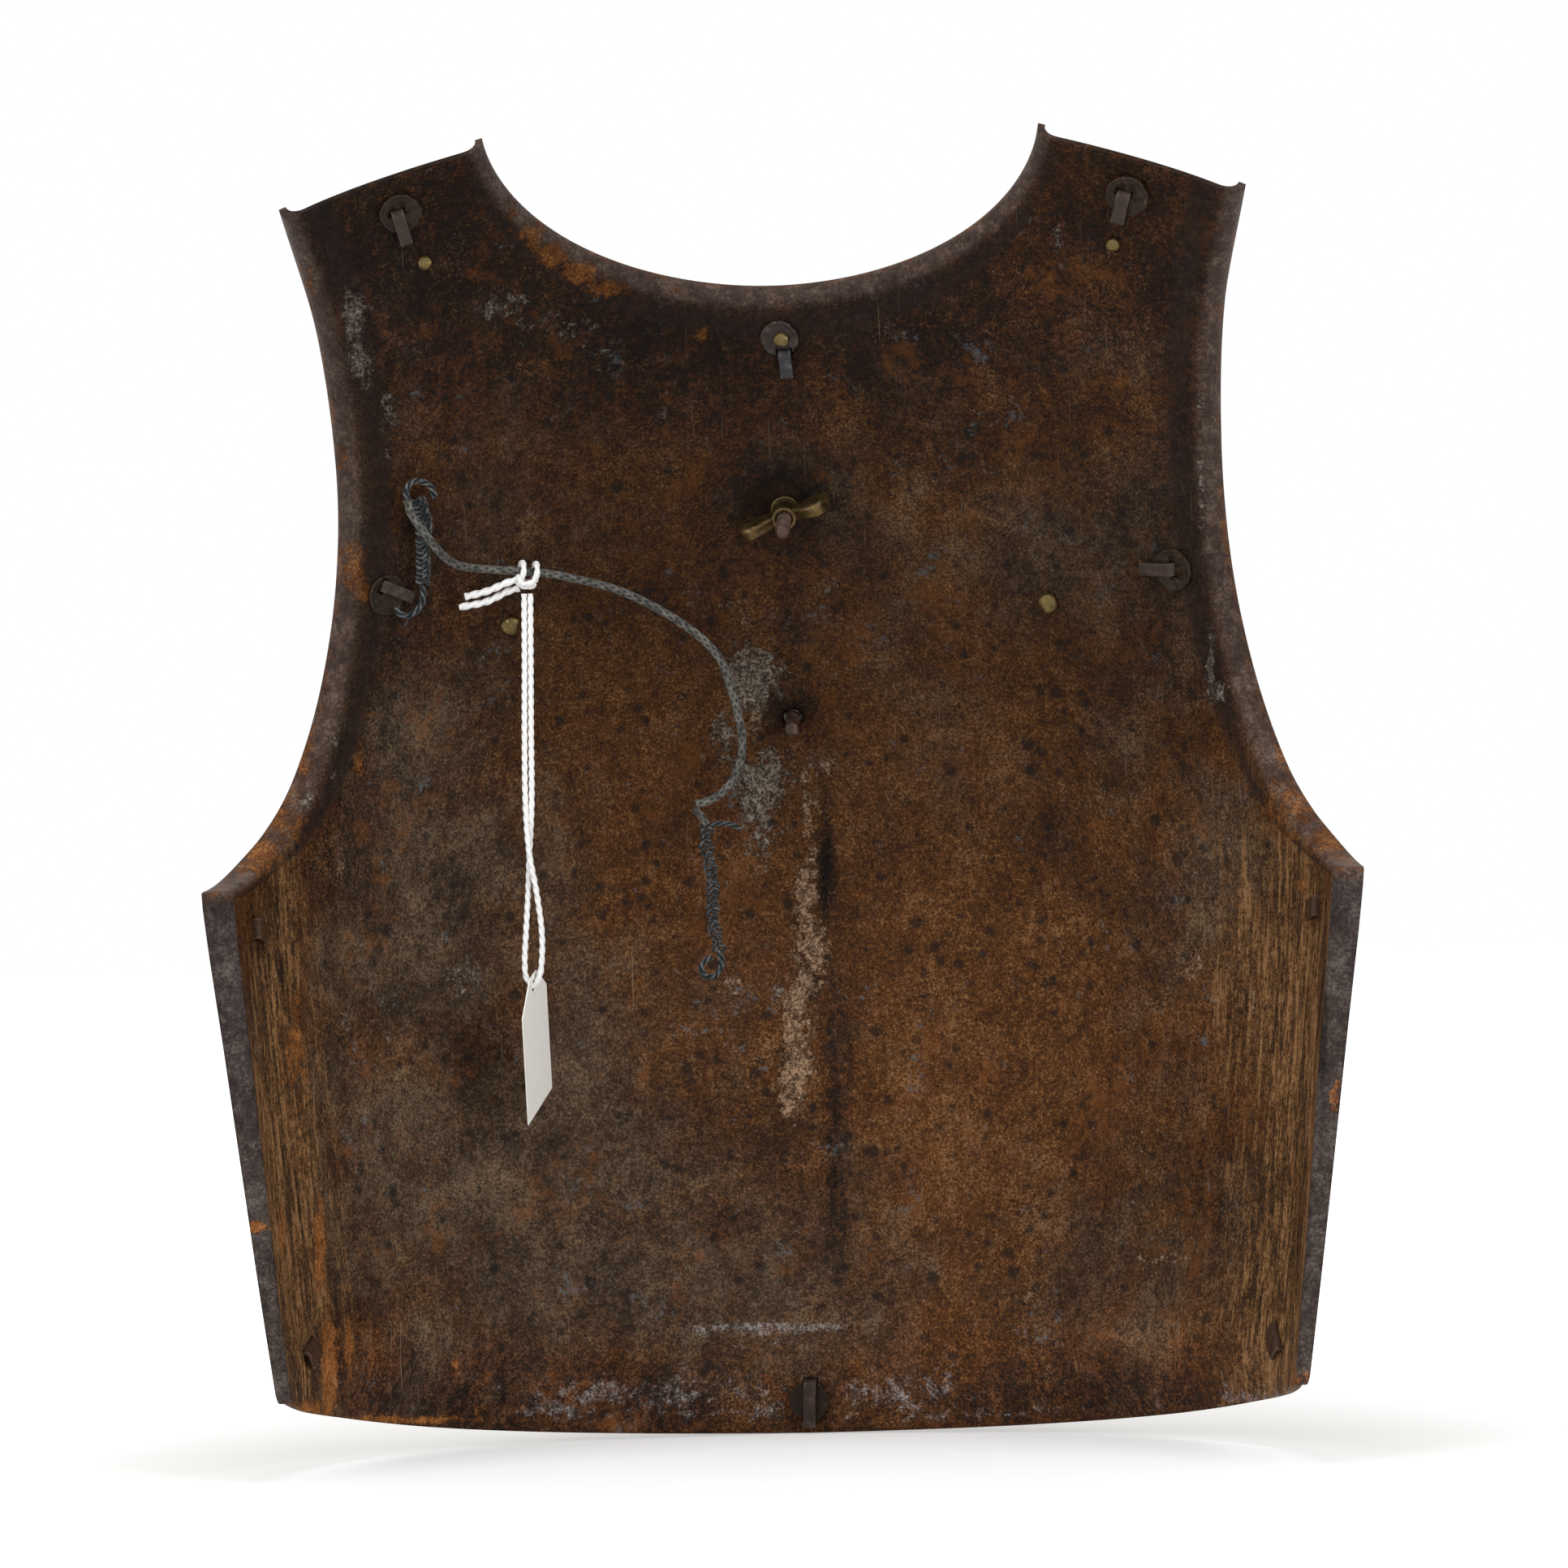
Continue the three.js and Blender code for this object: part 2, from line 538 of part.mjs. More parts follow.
// Cutters that end the shoulders in one straight cut through the plate and its rolled edges
function shoulderCutter(side, back) {
  const point = (x, z) => {
    const turn = turnAt(side * x, z);
    return surfaceAt(turn, z);
  };
  const inside = point(neckHalfWidth, shoulderInnerHeight);
  const outside = point(plateHalfWidth * along(armholeShares, shoulderOuterHeight / plateHeight),
    shoulderOuterHeight);
  const middle = inside.clone().add(outside).multiplyScalar(0.5);
  const line = outside.clone().sub(inside).normalize();
  const normal = normalAt(turnAt(middle.x, middle.z), middle.z);
  const up = line.clone().cross(normal).normalize();
  if (up.z < 0) up.negate();
  const deep = line.clone().cross(up).normalize();
  const box = new THREE.BoxGeometry(2 * shoulderCutReach, shoulderCutReach, shoulderCutReach);
  box.translate(0, shoulderCutReach / 2 - back, 0);
  return box.applyMatrix4(new THREE.Matrix4().makeBasis(line, up, deep).setPosition(middle));
}

// Cutter that leaves the bottom edge flat, in one plane that rises towards the sides
function bottomCutter() {
  const front = surfaceAt(0, 0);
  const side = surfaceAt(1, bottomRise);
  const rise = Math.atan2(side.z - front.z, front.y - side.y);
  const box = new THREE.BoxGeometry(4 * plateHalfWidth, 4 * plateDepth, bottomRise);
  box.translate(0, 0, bottomTrim - bottomRise / 2);
  return box.rotateX(-rise).translate(0, front.y, front.z);
}

const shoulderCutters = (back) => [-1, 1].map((side) => shoulderCutter(side, back));

function plate() {
  const rows = baseGrid();
  const { inner, outer } = layer(rows, 0, plateThickness);
  const last = rows.length - 1;
  const end = rows[0].length - 1;
  const neck = turnedEdge(rollRadius, neckLip);
  const top = rows[last].map((place, j) => edgePoints(rows[last], j, neck, -1));
  const leftLine = rows.map((row) => row[0]);
  const rightLine = rows.map((row) => row[end]);
  const left = leftLine.map(([, z], i) => edgePoints(leftLine, i, sideEdge(z), -1));
  const right = rightLine.map(([, z], i) => edgePoints(rightLine, i, sideEdge(z), 1));
  const face = (which, base) => {
    const grid = base.map((row, i) => [...left[i][which].slice().reverse(), ...row, ...right[i][which]]);
    for (let k = 0; k <= rollSteps; k += 1) {
      const step = (list, j) => list[j][which][k].clone().sub(base[last][j === 0 ? 0 : end]);
      const corner = (points, j) => points.map((p) => p.clone().add(step(top, j)));
      grid.push([...corner(left[last][which], 0).reverse(), ...top.map((t) => t[which][k]),
        ...corner(right[last][which], end)]);
    }
    return grid;
  };
  return sheet(face('inner', inner), face('outer', outer));
}

function facing() {
  const rows = baseGrid().slice(1, -1).map((row) => row.slice(1, -1));
  const inner = plateThickness + gap;
  const sheets = layer(rows, inner, inner + facingThickness);
  return sheet(sheets.inner, sheets.outer);
}

const barePlate = new THREE.Mesh(clean(plate()), iron);
const bareFacing = new THREE.Mesh(clean(facing()), facingBrass);

// Local frame of a fastener: x right and y up as the wearer's side is seen, z towards the wearer, with
// zero on the inner face of the plate
function frameAt({ xShare, z }) {
  const shift = shoulderShift * along(shoulderShiftShares, z / plateHeight);
  const turn = turnAt(plateHalfWidth * xShare - shift, z);
  const inward = normalAt(turn, z).negate();
  const right = new THREE.Vector3(1, 0, 0);
  right.addScaledVector(inward, -right.dot(inward)).normalize();
  const up = inward.clone().cross(right);
  const from = surfaceAt(turn, z).addScaledVector(inward, probeReach);
  const ray = new THREE.Raycaster(from, inward.clone().negate());
  return new THREE.Matrix4().makeBasis(right, up, inward)
    .setPosition(ray.intersectObject(barePlate)[0].point);
}

// How far a sheet stands out under a flat footprint in a fastener's frame, seen from the wearer's side, 1,
// or from the front, -1
function seat(sheetMesh, side, frame, places) {
  const toward = new THREE.Vector3().setFromMatrixColumn(frame, 2).multiplyScalar(-side);
  const heights = places.map(([x, y]) => {
    const from = new THREE.Vector3(x, y, side * probeReach).applyMatrix4(frame);
    return probeReach - new THREE.Raycaster(from, toward).intersectObject(sheetMesh)[0].distance;
  });
  return Math.max(...heights) + gap;
}

// Places on the rim of a round footprint and halfway to its middle
const disc = (radius, x, y) => [1, 0.5].flatMap((share) => evenShares(footprintCount).map((q) => (
  [x + share * radius * Math.cos(q * 2 * Math.PI), y + share * radius * Math.sin(q * 2 * Math.PI)])));

// Frames of the tangs: zero in the slot, x along the folded tang
function tangFrame(tang) {
  const turn = new THREE.Matrix4().makeRotationZ(tang.angle * Math.PI / 180);
  return frameAt(tang).multiply(turn);
}

const keeperPlace = (tang) => [tang.keeperRadius * tang.alongShare, tang.keeperRadius * tang.asideShare];
const keeperSeat = (tang) => seat(barePlate, 1, tangFrame(tang),
  disc(tang.keeperRadius, ...keeperPlace(tang)));

function slotCutter(tang) {
  const deep = 2 * (plateThickness + keeperThickness + overrun);
  const box = new THREE.BoxGeometry(tangThickness + 2 * gap, tang.width + 2 * gap, deep);
  return box.translate(tangThickness / 2, 0, 0);
}

function tangStrip(tang, lift) {
  const side = new THREE.Shape();
  const top = lift + tangThickness;
  side.moveTo(0, -plateThickness);
  side.lineTo(tangThickness, -plateThickness);
  side.lineTo(tangThickness, lift);
  side.lineTo(tang.reach, lift);
  side.lineTo(tang.reach, top);
  side.lineTo(tangThickness, top);
  side.absarc(tangThickness, lift, tangThickness, Math.PI / 2, Math.PI, false);
  const strip = new THREE.ExtrudeGeometry(side, { depth: tang.width, bevelEnabled: false,
    curveSegments: 4 });
  return strip.rotateX(Math.PI / 2).translate(0, tang.width / 2, 0);
}

const holes = [];
const through = plateThickness + facingThickness + 2 * gap + overrun;
const hole = (radius, frame) => rod(radius, -through, overrun, smallSides).applyMatrix4(frame);
const facingFront = plateThickness + gap + facingThickness;
const facingHoles = [];

for (const tang of tangs) {
  const frame = tangFrame(tang);
  holes.push(slotCutter(tang).applyMatrix4(frame));
  const half = tang.width / 2;
  const corners = [[0, half], [0, -half], [tang.reach, half], [tang.reach, -half]];
  let lift = seat(barePlate, 1, frame, corners);
  if (tang.keeperRadius) {
    const low = keeperSeat(tang);
    const top = low + keeperThickness;
    const round = rod(tang.keeperRadius, low, top, roundSides);
    const tools = [slotCutter(tang)];
    const pinned = rivets.find((rivet) => rivet.keeper === tang.name);
    if (pinned) {
      const turn = frame.clone().invert().multiply(frameAt(pinned));
      tools.push(rod(pinned.shank + gap, -overrun, top + overrun, smallSides).applyMatrix4(turn));
    }
    round.translate(...keeperPlace(tang), 0);
    add(`keeper_${tang.name}`, cut(round, tools), darkIron, frame);
    lift = Math.max(lift, top + gap);
  }
  add(`tang_${tang.name}`, tangStrip(tang, lift), darkIron, frame);
}

for (const rivet of rivets) {
  const frame = frameAt(rivet);
  const keeper = tangs.find((tang) => tang.name === rivet.keeper);
  let seatHeight = seat(barePlate, 1, frame, disc(rivet.endRadius, 0, 0));
  if (keeper) {
    seatHeight = keeperSeat(keeper) + keeperThickness + gap;
  }
  const front = -seat(bareFacing, -1, frame, disc(rivet.neck || rivet.headRadius, 0, 0));
  const shoulder = front - rivet.neckLength;
  const profile = [[0, shoulder - rivet.headHeight],
    [rivet.headRadius * headCrownWidthShare, shoulder - rivet.headHeight * headCrownShare],
    [rivet.headRadius, shoulder - rivet.headHeight * headRimShare], [rivet.headRadius, shoulder]];
  if (rivet.neck) profile.push([rivet.neck, shoulder], [rivet.neck, front]);
  profile.push([rivet.shank, front], [rivet.shank, seatHeight], [rivet.endRadius, seatHeight],
    [rivet.endRadius * endCrownShare, seatHeight + rivetEndHeight * endRimShare],
    [0, seatHeight + rivetEndHeight]);
  add(rivet.name, turned(profile, smallSides), oldBrass, frame);
  const bore = hole(rivet.shank + gap, frame);
  holes.push(bore);
  facingHoles.push(bore);
}

// Sheet on the front in rings about a middle: depthAt(share, step) is its distance from the inner face
function ringSheet(heightShare, halfWidth, halfHeight, rings, steps, low, high) {
  const middle = plateHeight * heightShare;
  const place = (share, step, depth) => {
    const angle = step / steps * 2 * Math.PI + Math.PI / 2;
    const x = share * halfWidth * Math.cos(angle);
    const z = middle + share * halfHeight * Math.sin(angle);
    const turn = turnAt(x, z);
    return surfaceAt(turn, z).addScaledVector(normalAt(turn, z), depth);
  };
  const points = [];
  for (const depthAt of [low, high]) {
    points.push(place(0, 0, depthAt(0, 0)));
    for (const ring of rings) {
      for (let k = 0; k < steps; k += 1) points.push(place(ring(k), k, depthAt(ring(k), k)));
    }
  }
  const half = 1 + rings.length * steps;
  const index = [];
  const at = (i, k) => 1 + i * steps + k % steps;
  for (let k = 0; k < steps; k += 1) {
    index.push(0, at(0, k), at(0, k + 1), half, half + at(0, k + 1), half + at(0, k));
    for (let i = 0; i < rings.length - 1; i += 1) {
      const [a, b, c, d] = [at(i, k), at(i + 1, k), at(i + 1, k + 1), at(i, k + 1)];
      index.push(a, b, c, a, c, d, half + a, half + c, half + b, half + a, half + d, half + c);
    }
    const [a, b] = [at(rings.length - 1, k), at(rings.length - 1, k + 1)];
    index.push(b, a, half + a, b, half + a, half + b);
  }
  const geometry = new THREE.BufferGeometry();
  geometry.setAttribute('position', new THREE.Float32BufferAttribute(
    points.flatMap((p) => [p.x, p.y, p.z]), 3));
  geometry.setIndex(index);
  return geometry;
}

const plaqueBack = facingFront + plaqueSeat;
const bossBack = plaqueBack + plaqueThickness + gap;

function plaque() {
  const steps = rayCount * rayShares.length;
  const edge = (k) => rayShares[k % rayShares.length];
  const rings = rayRingShares.map((share) => (() => share)).concat([edge]);
  const ridge = (share, k) => (k % 2 === 0 && share > rayRingShares[0] ? rayRelief : 0);
  return ringSheet(plaqueHeightShare, plaqueHalfWidth, plaqueHalfHeight, rings, steps,
    () => plaqueBack, (share, k) => plaqueBack + plaqueThickness + ridge(share, k));
}

function boss() {
  const rings = bossShares.map(([share]) => (() => share)).reverse();
  const domeAt = (share) => bossDome * (share === 0 ? 1 : bossShares.find((s) => s[0] === share)[1]);
  return ringSheet(plaqueHeightShare, bossHalfWidth, bossHalfHeight, rings, bossSides,
    () => bossBack, (share) => bossBack + bossRim + domeAt(share));
}

const studFrame = frameAt({ xShare: 0, z: heightAt(studHeightShare) });
const pegFrame = frameAt({ xShare: 0, z: heightAt(pegHeightShare) });
const collarSeat = seat(barePlate, 1, studFrame, disc(collarRadius, 0, 0));
const nutSeat = collarSeat + collarThickness + gap;

function stud() {
  const tip = studRadius * studTipShare;
  return turned([[0, gap - plaqueBack], [studRadius, gap - plaqueBack],
    [studRadius, studReach - studRadius + tip], [tip, studReach], [0, studReach]], roundSides);
}

function collar() {
  const bore = studRadius + gap;
  const top = collarSeat + collarThickness;
  return turned([[bore, collarSeat], [collarRadius, collarSeat], [collarRadius, top], [bore, top],
    [bore, collarSeat]], roundSides);
}

function wingNut() {
  const hub = turned([[0, nutSeat], [hubRadius, nutSeat], [hubRadius * hubTaperShare, nutSeat + hubHeight],
    [0, nutSeat + hubHeight]], roundSides);
  const wing = (side) => {
    const blade = new THREE.SphereGeometry(1 / 2, wingSides, wingRings);
    const length = wingReach - hubRadius * wingRootShare;
    blade.scale(length, wingThickness, wingHeight);
    blade.rotateY(-side * wingAngle * Math.PI / 180);
    return blade.translate(side * (wingReach - length / 2), 0, nutSeat + hubHeight / 2 + wingRise);
  };
  const body = toManifold(hub).add(toManifold(wing(1))).add(toManifold(wing(-1)));
  const low = new THREE.BoxGeometry(4 * wingReach, 4 * wingReach, wingReach);
  low.translate(0, 0, nutSeat - wingReach / 2);
  const bore = rod(studRadius + gap, nutSeat - overrun, nutSeat + hubHeight + overrun, roundSides);
  const whole = fromManifold(body.subtract(toManifold(bore)).subtract(toManifold(low)));
  return whole.rotateZ(wingAngle * Math.PI / 180);
}

for (const [radius, frame] of [[studRadius + gap, studFrame], [pegHoleRadius, pegFrame]]) {
  holes.push(hole(radius, frame));
  facingHoles.push(hole(radius, frame));
}

add('breastplate_shell', cut(plate(), [bottomCutter(), ...shoulderCutters(0), ...holes]), iron);
add('facing_sheet', cut(facing(), [...shoulderCutters(facingShoulderMargin), ...facingHoles]), facingBrass);
add('front_plaque', plaque(), whiteMetal);
add('plaque_boss', boss(), oldBrass);
add('plaque_stud', stud(), darkIron, studFrame);
add('stud_collar', collar(), oldBrass, studFrame);
add('wing_nut', wingNut(), oldBrass, studFrame);
add('locating_peg', rod(pegRadius, gap - plaqueBack, pegReach, smallSides), darkIron, pegFrame);

const metalBox = new THREE.Box3().setFromObject(group, true);

const darkCord = new THREE.MeshStandardMaterial({ color: 0x4a4a46, roughness: 0.9, metalness: 0 });
const cotton = new THREE.MeshStandardMaterial({ color: 0xf2f0ea, roughness: 0.95, metalness: 0 });
const paper = new THREE.MeshStandardMaterial({ color: 0xe9e4d6, roughness: 0.8, metalness: 0 });

function tube(points, radius, stepShare) {
  const path = new THREE.CatmullRomCurve3(points.map((p) => new THREE.Vector3(...p)), false, 'centripetal');
  const section = new THREE.Shape(evenShares(tubeSideCount).map((share) => {
    const angle = share * 2 * Math.PI;
    return new THREE.Vector2(radius * Math.cos(angle), radius * Math.sin(angle));
  }));
  const steps = Math.round(path.getLength() / (stepShare * radius));
  return new THREE.ExtrudeGeometry(section, { steps, bevelEnabled: false, extrudePath: path });
}

function hitch() {
  const bore = cordRadius + 2 * gap;
  const half = hitchLength / 2;
  const round = stringRadius;
  const sleeve = turned([[bore, -half], [hitchRadius - round, -half], [hitchRadius, round - half],
    [hitchRadius, half - round], [hitchRadius - round, half], [bore, half], [bore, -half]], smallSides);
  sleeve.rotateY(Math.PI / 2).rotateY(hitchDip).rotateZ(hitchTurn);
  const knot = new THREE.SphereGeometry(hitchKnotRadius, knotSides, knotRings);
  knot.translate(0, 0, -hitchKnotDrop);
  const clear = rod(bore, -hitchLength, hitchLength, smallSides);
  clear.rotateY(Math.PI / 2).rotateY(hitchDip).rotateZ(hitchTurn);
  return fromManifold(toManifold(sleeve).add(toManifold(knot).subtract(toManifold(clear))));
}

function tag() {
  const top = tagHoleDrop;
  const shoulder = top - tagShoulderShare * tagLength;
  const bottom = top - tagLength;
  const half = tagWidth / 2;
  const outline = new THREE.Shape([[-tagTopShare * half, top], [-half, shoulder], [-half, bottom],
    [half, bottom], [half, shoulder], [tagTopShare * half, top]].map((p) => new THREE.Vector2(...p)));
  outline.holes.push(new THREE.Path().absarc(0, 0, tagHoleRadius, 0, 2 * Math.PI, true));
  const sheetOfPaper = new THREE.ExtrudeGeometry(outline, { depth: tagThickness, bevelEnabled: false,
    curveSegments: smallSides });
  sheetOfPaper.translate(0, 0, -tagThickness / 2).rotateX(Math.PI / 2);
  sheetOfPaper.rotateZ(tagTurn * Math.PI / 180);
  return sheetOfPaper.rotateX(tagLean * Math.PI / 180);
}

const at = (place) => new THREE.Matrix4().makeTranslation(...place);

add('cord_tie', tube(tiePoints, tieRadius, loopStepShare), darkCord);
add('cord_chain_lower', tube(lowerChainPoints, lowerChainRadius, loopStepShare), darkCord);
add('cord_chain_upper', tube(upperChainPoints, upperChainRadius, loopStepShare), darkCord);
add('cord_hook', tube(hookPoints, tieRadius, loopStepShare), darkCord);
add('cord_main', tube(cordPoints, cordRadius, cordStepShare), darkCord);
add('cord_fold', tube(foldPoints, cordRadius, loopStepShare), darkCord);
add('cord_short_end', tube(shortEndPoints, shortEndRadius, cordStepShare), darkCord);
add('cord_chain_tail', tube(tailPoints, tailRadius, cordStepShare), darkCord);
add('cord_end_loop', tube(endLoopPoints, tieRadius, loopStepShare), darkCord);
add('string_hitch', hitch(), cotton, at(hitchPlace));
add('string_upper_end', tube(upperEndPoints, stringRadius, cordStepShare), cotton);
add('string_lower_end', tube(lowerEndPoints, stringRadius, cordStepShare), cotton);
add('string_loop', tube(stringPoints, stringRadius, cordStepShare), cotton);
add('paper_tag', tag(), paper, at(tagPlace));

// The part stands on the origin, its metal centred over it
const middle = metalBox.getCenter(new THREE.Vector3());
group.position.set(-middle.x, -middle.y, -metalBox.min.z);

export default group;
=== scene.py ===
# Looks of the breastplate, shown from its inside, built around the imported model. Metres, +Z up, and the
# inside of the plate faces -Y. Lengths named without a unit are in millimetres.
import math

import bmesh
import bpy
import numpy as np
from mathutils import Matrix, Vector, kdtree, noise


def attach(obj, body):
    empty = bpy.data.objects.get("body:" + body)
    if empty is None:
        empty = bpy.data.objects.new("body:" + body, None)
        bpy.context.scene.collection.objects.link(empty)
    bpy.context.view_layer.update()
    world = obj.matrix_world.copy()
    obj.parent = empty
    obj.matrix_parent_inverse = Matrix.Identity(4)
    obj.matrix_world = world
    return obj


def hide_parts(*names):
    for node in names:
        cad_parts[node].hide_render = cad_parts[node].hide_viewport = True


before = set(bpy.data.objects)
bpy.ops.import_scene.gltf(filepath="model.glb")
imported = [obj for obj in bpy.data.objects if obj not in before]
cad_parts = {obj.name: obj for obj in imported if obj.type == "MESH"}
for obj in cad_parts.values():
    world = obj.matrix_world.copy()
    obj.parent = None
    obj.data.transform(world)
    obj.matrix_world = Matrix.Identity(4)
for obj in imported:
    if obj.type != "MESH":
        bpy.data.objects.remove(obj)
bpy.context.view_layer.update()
scene = bpy.context.scene
scene.view_settings.view_transform = "Standard"

# Camera
# The photograph is taken with a long lens from about two metres, level with the middle of the plate and
# a little to its right, and the plate stands turned by about one degree in the picture.
millimetre = 0.001
photo_width_px = 1932
look_px = (969, 960)
look_point = Vector((-0.28, -4.07, 221.77)) * millimetre
camera_distance = 2.2
camera_azimuth = math.radians(2.4)
camera_roll = math.radians(1.3)
px_per_metre = 3740
film_width = 36
farthest_seen = 20
forward = Vector((-math.sin(camera_azimuth), math.cos(camera_azimuth), 0))
level = Vector((math.cos(camera_azimuth), math.sin(camera_azimuth), 0))
upward = level.cross(forward)
right = level * math.cos(camera_roll) - upward * math.sin(camera_roll)
up = level * math.sin(camera_roll) + upward * math.cos(camera_roll)
lens = bpy.data.cameras.new("photo_camera")
lens.sensor_width = film_width
lens.lens = film_width * px_per_metre * camera_distance / photo_width_px
lens.shift_x = (photo_width_px / 2 - look_px[0]) / photo_width_px
lens.shift_y = (look_px[1] - photo_width_px / 2) / photo_width_px
lens.clip_end = farthest_seen
camera = bpy.data.objects.new("photo_camera", lens)
scene.collection.objects.link(camera)
camera.matrix_world = Matrix((right, up, -forward)).transposed().to_4x4()
camera.location = look_point - forward * camera_distance
scene.camera = camera

# Dark cord
# A grey-black plaited cord is tied round one tang by a chain of its own loops. It lies on the plate in a
# long curve, folds back and ends in a second chain with an open loop. The routes are those of its solids.
plate_shift = Vector((-0.2779, 50.9273, -0.2274))
cord_radius = 1.4
tie_radius = 1.1
lower_chain_radius = 2.2
upper_chain_radius = 2.5
short_end_radius = 0.9
tail_radius = 1.9
tie_route = [(-128.2, -48.2, 281.9), (-127.4, -47.8, 279.9), (-124.6, -46.6, 279), (-121.2, -46, 281.2),
             (-119.6, -46, 284.4), (-119.4, -46.7, 288.8)]
lower_chain_route = [(-119.4, -46.9, 289.3), (-119.1, -48.3, 293.9), (-118.8, -49.4, 298.4),
                     (-118.8, -50.7, 304.2)]
upper_chain_route = [(-118.7, -50.8, 304.8), (-118, -51.3, 308.5), (-118.8, -52.8, 312.9),
                     (-119.8, -54.4, 317.4)]
hook_route = [(-122.9, -59, 317.5), (-123, -58.8, 320.4), (-121, -57.8, 322.8), (-118, -56.4, 322.9),
              (-115.2, -54.6, 321), (-114.4, -53.6, 318.4)]
cord_route = [(-122.8, -58.9, 317), (-122, -58.3, 313), (-119.9, -57, 309.2), (-117.1, -55.3, 305.1),
              (-114.4, -52.8, 301.3), (-111.6, -49.9, 298), (-107.8, -46.9, 295.4), (-102.3, -44.4, 294.3),
              (-95.4, -41.6, 293.7), (-87.4, -38.2, 293.1), (-79.8, -35.8, 292.4), (-69.8, -32.5, 290.3),
              (-59.7, -30.2, 287.6), (-51.5, -27.9, 284.4), (-43.6, -25.4, 280.2), (-35.7, -22.8, 275.2),
              (-27.7, -19.7, 268.7), (-22.7, -17.1, 262.2), (-19.6, -13.9, 252.9), (-17.4, -11, 243),
              (-16.4, -9.2, 236.4), (-16.9, -7.8, 230.4), (-18.8, -6.7, 224.7), (-21.8, -6, 219.9),
              (-25.6, -5.8, 216.8), (-29.6, -5.8, 214.9), (-32.9, -6, 214.3)]
fold_route = [(-32.3, -5.8, 211.5), (-31.2, -5.4, 210.3), (-30.2, -5, 208.8)]
short_end_route = [(-26.4, -4.3, 207.4), (-24, -4.1, 207.6), (-21, -2.9, 207.1), (-19.3, -2, 206.2)]
tail_route = [(-29.2, -4.5, 207), (-29.9, -4, 201.6), (-28.8, -3.6, 195.6), (-27.6, -3.8, 187),
              (-27.8, -4.3, 180.5), (-27.6, -4.5, 174.3), (-26.9, -4.5, 169.2), (-26.1, -4.3, 164.6)]
end_loop_route = [(-25.9, -4.2, 164.1), (-25.5, -4, 159.6), (-28.2, -4.1, 155.9), (-31.6, -4.5, 156.8),
                  (-32.1, -4.7, 160), (-29.3, -4.5, 162.3)]
samples_between_points = 24
merge_distance = 1e-7


def line_through(route, step):
    """Even points, in metres in the row frame, on a smooth curve through a route in plate millimetres."""
    points = (np.array(route, dtype=float) + np.array(plate_shift)) * millimetre
    points = np.vstack([2 * points[0] - points[1], points, 2 * points[-1] - points[-2]])
    fine = [points[1]]
    for k in range(1, len(points) - 2):
        four = points[k - 1:k + 3]
        knots = np.concatenate([[0], np.cumsum(np.sqrt(np.linalg.norm(np.diff(four, axis=0), axis=1)))])
        t = np.linspace(knots[1], knots[2], samples_between_points)[1:, None]
        level_a = [((knots[i + 1] - t) * four[i] + (t - knots[i]) * four[i + 1]) / (knots[i + 1] - knots[i])
                   for i in range(3)]
        level_b = [((knots[i + 2] - t) * level_a[i] + (t - knots[i]) * level_a[i + 1])
                   / (knots[i + 2] - knots[i]) for i in range(2)]
        fine += list(((knots[2] - t) * level_b[0] + (t - knots[1]) * level_b[1]) / (knots[2] - knots[1]))
    fine = np.array(fine)
    run = np.concatenate([[0], np.cumsum(np.linalg.norm(np.diff(fine, axis=0), axis=1))])
    even = np.linspace(0, run[-1], max(3, int(run[-1] / step) + 1))
    return np.stack([np.interp(even, run, fine[:, axis]) for axis in range(3)], axis=1), even


def frames_on(line):
    """Two unit vectors across a line at each of its points, carried along without twist."""
    along = np.gradient(line, axis=0)
    along /= np.linalg.norm(along, axis=1, keepdims=True)
    side = np.cross(along[0], (0, 1, 0))
    sides = []
    for direction in along:
        side = side - direction * side.dot(direction)
        side /= np.linalg.norm(side)
        sides.append(side)
    sides = np.array(sides)
    return sides, np.cross(along, sides)


def mesh_object(name, bm, smooth=True):
    """The bmesh as a named object of the scene."""
    mesh = bpy.data.meshes.new(name)
    for face in bm.faces:
        face.smooth = smooth
    bm.to_mesh(mesh)
    bm.free()
    piece = bpy.data.objects.new(name, mesh)
    scene.collection.objects.link(piece)
    return piece


def closed_tube(points_along, ring, place_of, ridges=None):
    """A grid rolled into a tube with closed ends: place_of gives the place of a step and ring number, and
    ridges how far each stands out of the grooves, from 0 to 1."""
    bm = bmesh.new()
    bmesh.ops.create_grid(bm, x_segments=points_along - 1, y_segments=ring, size=0.5)
    ridge = bm.verts.layers.float.new("ridge") if ridges is not None else None
    for vertex in bm.verts:
        i = round((vertex.co.x + 0.5) * (points_along - 1))
        k = round((vertex.co.y + 0.5) * ring) % ring
        vertex.co = place_of(i, k)
        if ridge is not None:
            vertex[ridge] = ridges[i, k]
    bmesh.ops.remove_doubles(bm, verts=bm.verts, dist=merge_distance)
    bmesh.ops.holes_fill(bm, edges=[edge for edge in bm.edges if edge.is_boundary])
    bmesh.ops.recalc_face_normals(bm, faces=bm.faces)
    return bm


def ring_angles(ring):
    return np.linspace(0, 2 * math.pi, ring + 1)[:-1]


def tube_mesh(name, line, radii, ridges=None):
    """A closed tube whose radius is given for each point of the line and each angle of the ring."""
    sides, ups = frames_on(line)
    angles = ring_angles(radii.shape[1])

    def place_of(i, k):
        return line[i] + (sides[i] * math.cos(angles[k]) + ups[i] * math.sin(angles[k])) * radii[i, k]

    return mesh_object(name, closed_tube(len(line), len(angles), place_of, ridges))


cord_ring = 24
cord_groove_share = 0.34
cord_pitch = 3.2
cord_step = 0.3


